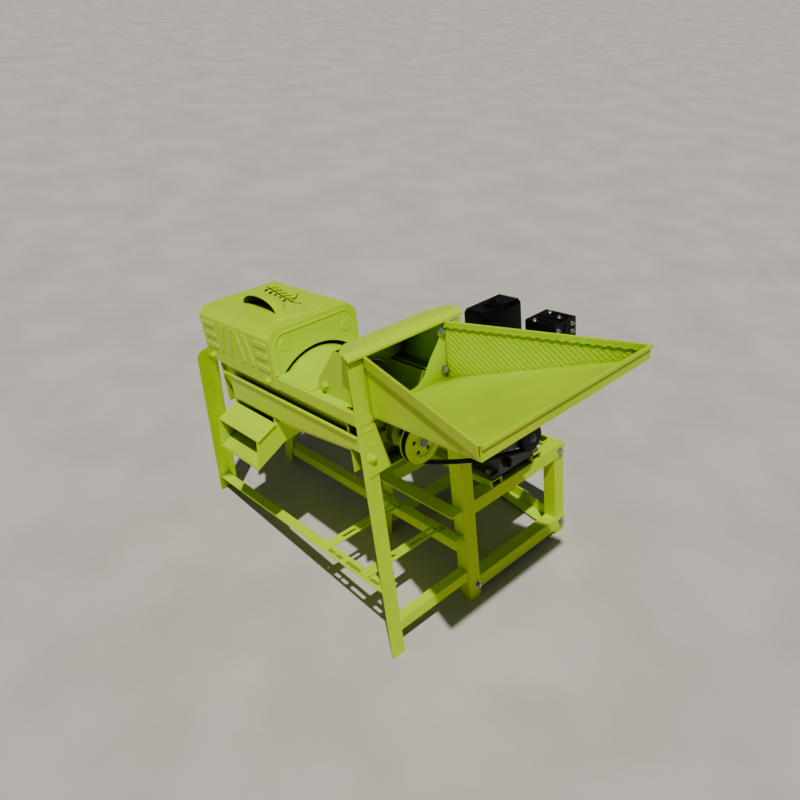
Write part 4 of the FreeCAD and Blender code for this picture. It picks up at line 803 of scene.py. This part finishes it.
def cleaner_details():
    middle = ((CLEANER_FRONT + CLEANER_REAR) / 2, (CLEANER_NEAR + CLEANER_FAR) / 2)
    front, rear = CLEANER_FRONT - CLEANER_MARGIN, CLEANER_REAR + CLEANER_MARGIN
    near, far = CLEANER_NEAR + CLEANER_MARGIN, CLEANER_FAR - CLEANER_MARGIN
    border = [(front, near), (front, far), (rear, far), (rear, near), (front, near)]
    shape = bmesh.new()
    turned(shape, (*middle, CLEANER_TOP), (0, 0, 1), CLEANER_RING, CLEANER_RING_SIDES)
    turned(shape, (*middle, CLEANER_TOP + CLEANER_KNOB), (0, 0, 1), KNOB_RING, KNOB_RING_SIDES)
    strip_along(shape, [(x, y, CLEANER_TOP) for x, y in border], (0, 0, 1),
                CLEANER_LINE_HALF, CLEANER_LINE_RISE)
    piece("cleaner_mouldings", shape, PLASTIC)


def cylinder_details():
    lean = Matrix.Rotation(CYLINDER_LEAN, 4, "X")
    crank = Vector((0, *CRANK))
    places = [(crank + lean @ Vector((x, ROCKER_OUT, z)), lean @ Vector((0, 1, 0)))
              for x in ROCKER_BOLTS_X for z in ROCKER_BOLTS_Z]
    bolts("rocker_cover_bolts", places, ROCKER_BOLT_RADIUS, ROCKER_BOLT_HEIGHT)


def drive_details():
    shape = bmesh.new()
    turned(shape, DRUM_PULLEY_FACE, (1, 0, 0), DRUM_HUB_PROFILE, DRUM_HUB_SIDES)
    piece("drum_pulley_hub", shape, PAINT, "rotor")


# Floor, light and camera

def stage():
    mesh = bpy.data.meshes.new("floor")
    corners = [(a * FLOOR_HALF, b * FLOOR_HALF, 0) for a, b in ((-1, -1), (1, -1), (1, 1), (-1, 1))]
    mesh.from_pydata(corners, [], [(0, 1, 2, 3)])
    floor = bpy.data.objects.new("floor", mesh)
    floor.data.materials.append(FLOOR)
    bpy.context.scene.collection.objects.link(floor)


def light():
    key = bpy.data.lights.new("key", "SUN")
    key.energy = KEY_STRENGTH
    key.angle = KEY_ANGLE
    lamp = bpy.data.objects.new("key", key)
    lamp.rotation_mode = "QUATERNION"
    lamp.rotation_quaternion = KEY_FALL.to_track_quat("-Z", "Y")
    bpy.context.scene.collection.objects.link(lamp)
    world = bpy.data.worlds.new("studio")
    world.use_nodes = True
    back = world.node_tree.nodes["Background"]
    back.inputs["Color"].default_value = FILL_COLOUR
    back.inputs["Strength"].default_value = FILL_STRENGTH
    bpy.context.scene.world = world


def camera():
    az, dip = CAMERA_AZIMUTH, CAMERA_DIP
    forward = Vector((-math.sin(az) * math.cos(dip), math.cos(az) * math.cos(dip), -math.sin(dip)))
    level = Vector((math.cos(az), math.sin(az), 0.0))
    upright = level.cross(forward)
    right = level * math.cos(CAMERA_ROLL) + upright * math.sin(CAMERA_ROLL)
    up = upright * math.cos(CAMERA_ROLL) - level * math.sin(CAMERA_ROLL)
    turn = Matrix((right, up, -forward)).transposed().to_4x4()
    lens = bpy.data.cameras.new("camera")
    lens.sensor_width = SENSOR
    lens.lens = FOCAL_PIXELS * SENSOR / FRAME_PIXELS
    lens.clip_end = CAMERA_REACH
    eye = bpy.data.objects.new("camera", lens)
    place = BODY @ CAMERA_PLACE
    eye.matrix_world = Matrix.Translation(place) @ Matrix.Rotation(-BODY_TILT, 4, "Y") @ turn
    bpy.context.scene.collection.objects.link(eye)
    bpy.context.scene.camera = eye


finish_nodes()
hopper_details()
weld_seams()
hood_details()
strip_details()
frame_bolt_heads()
gusset_details()
side_cover_bolts()
starter_details()
muffler_details()
cleaner_details()
cylinder_details()
drive_details()
stage()
light()
camera()
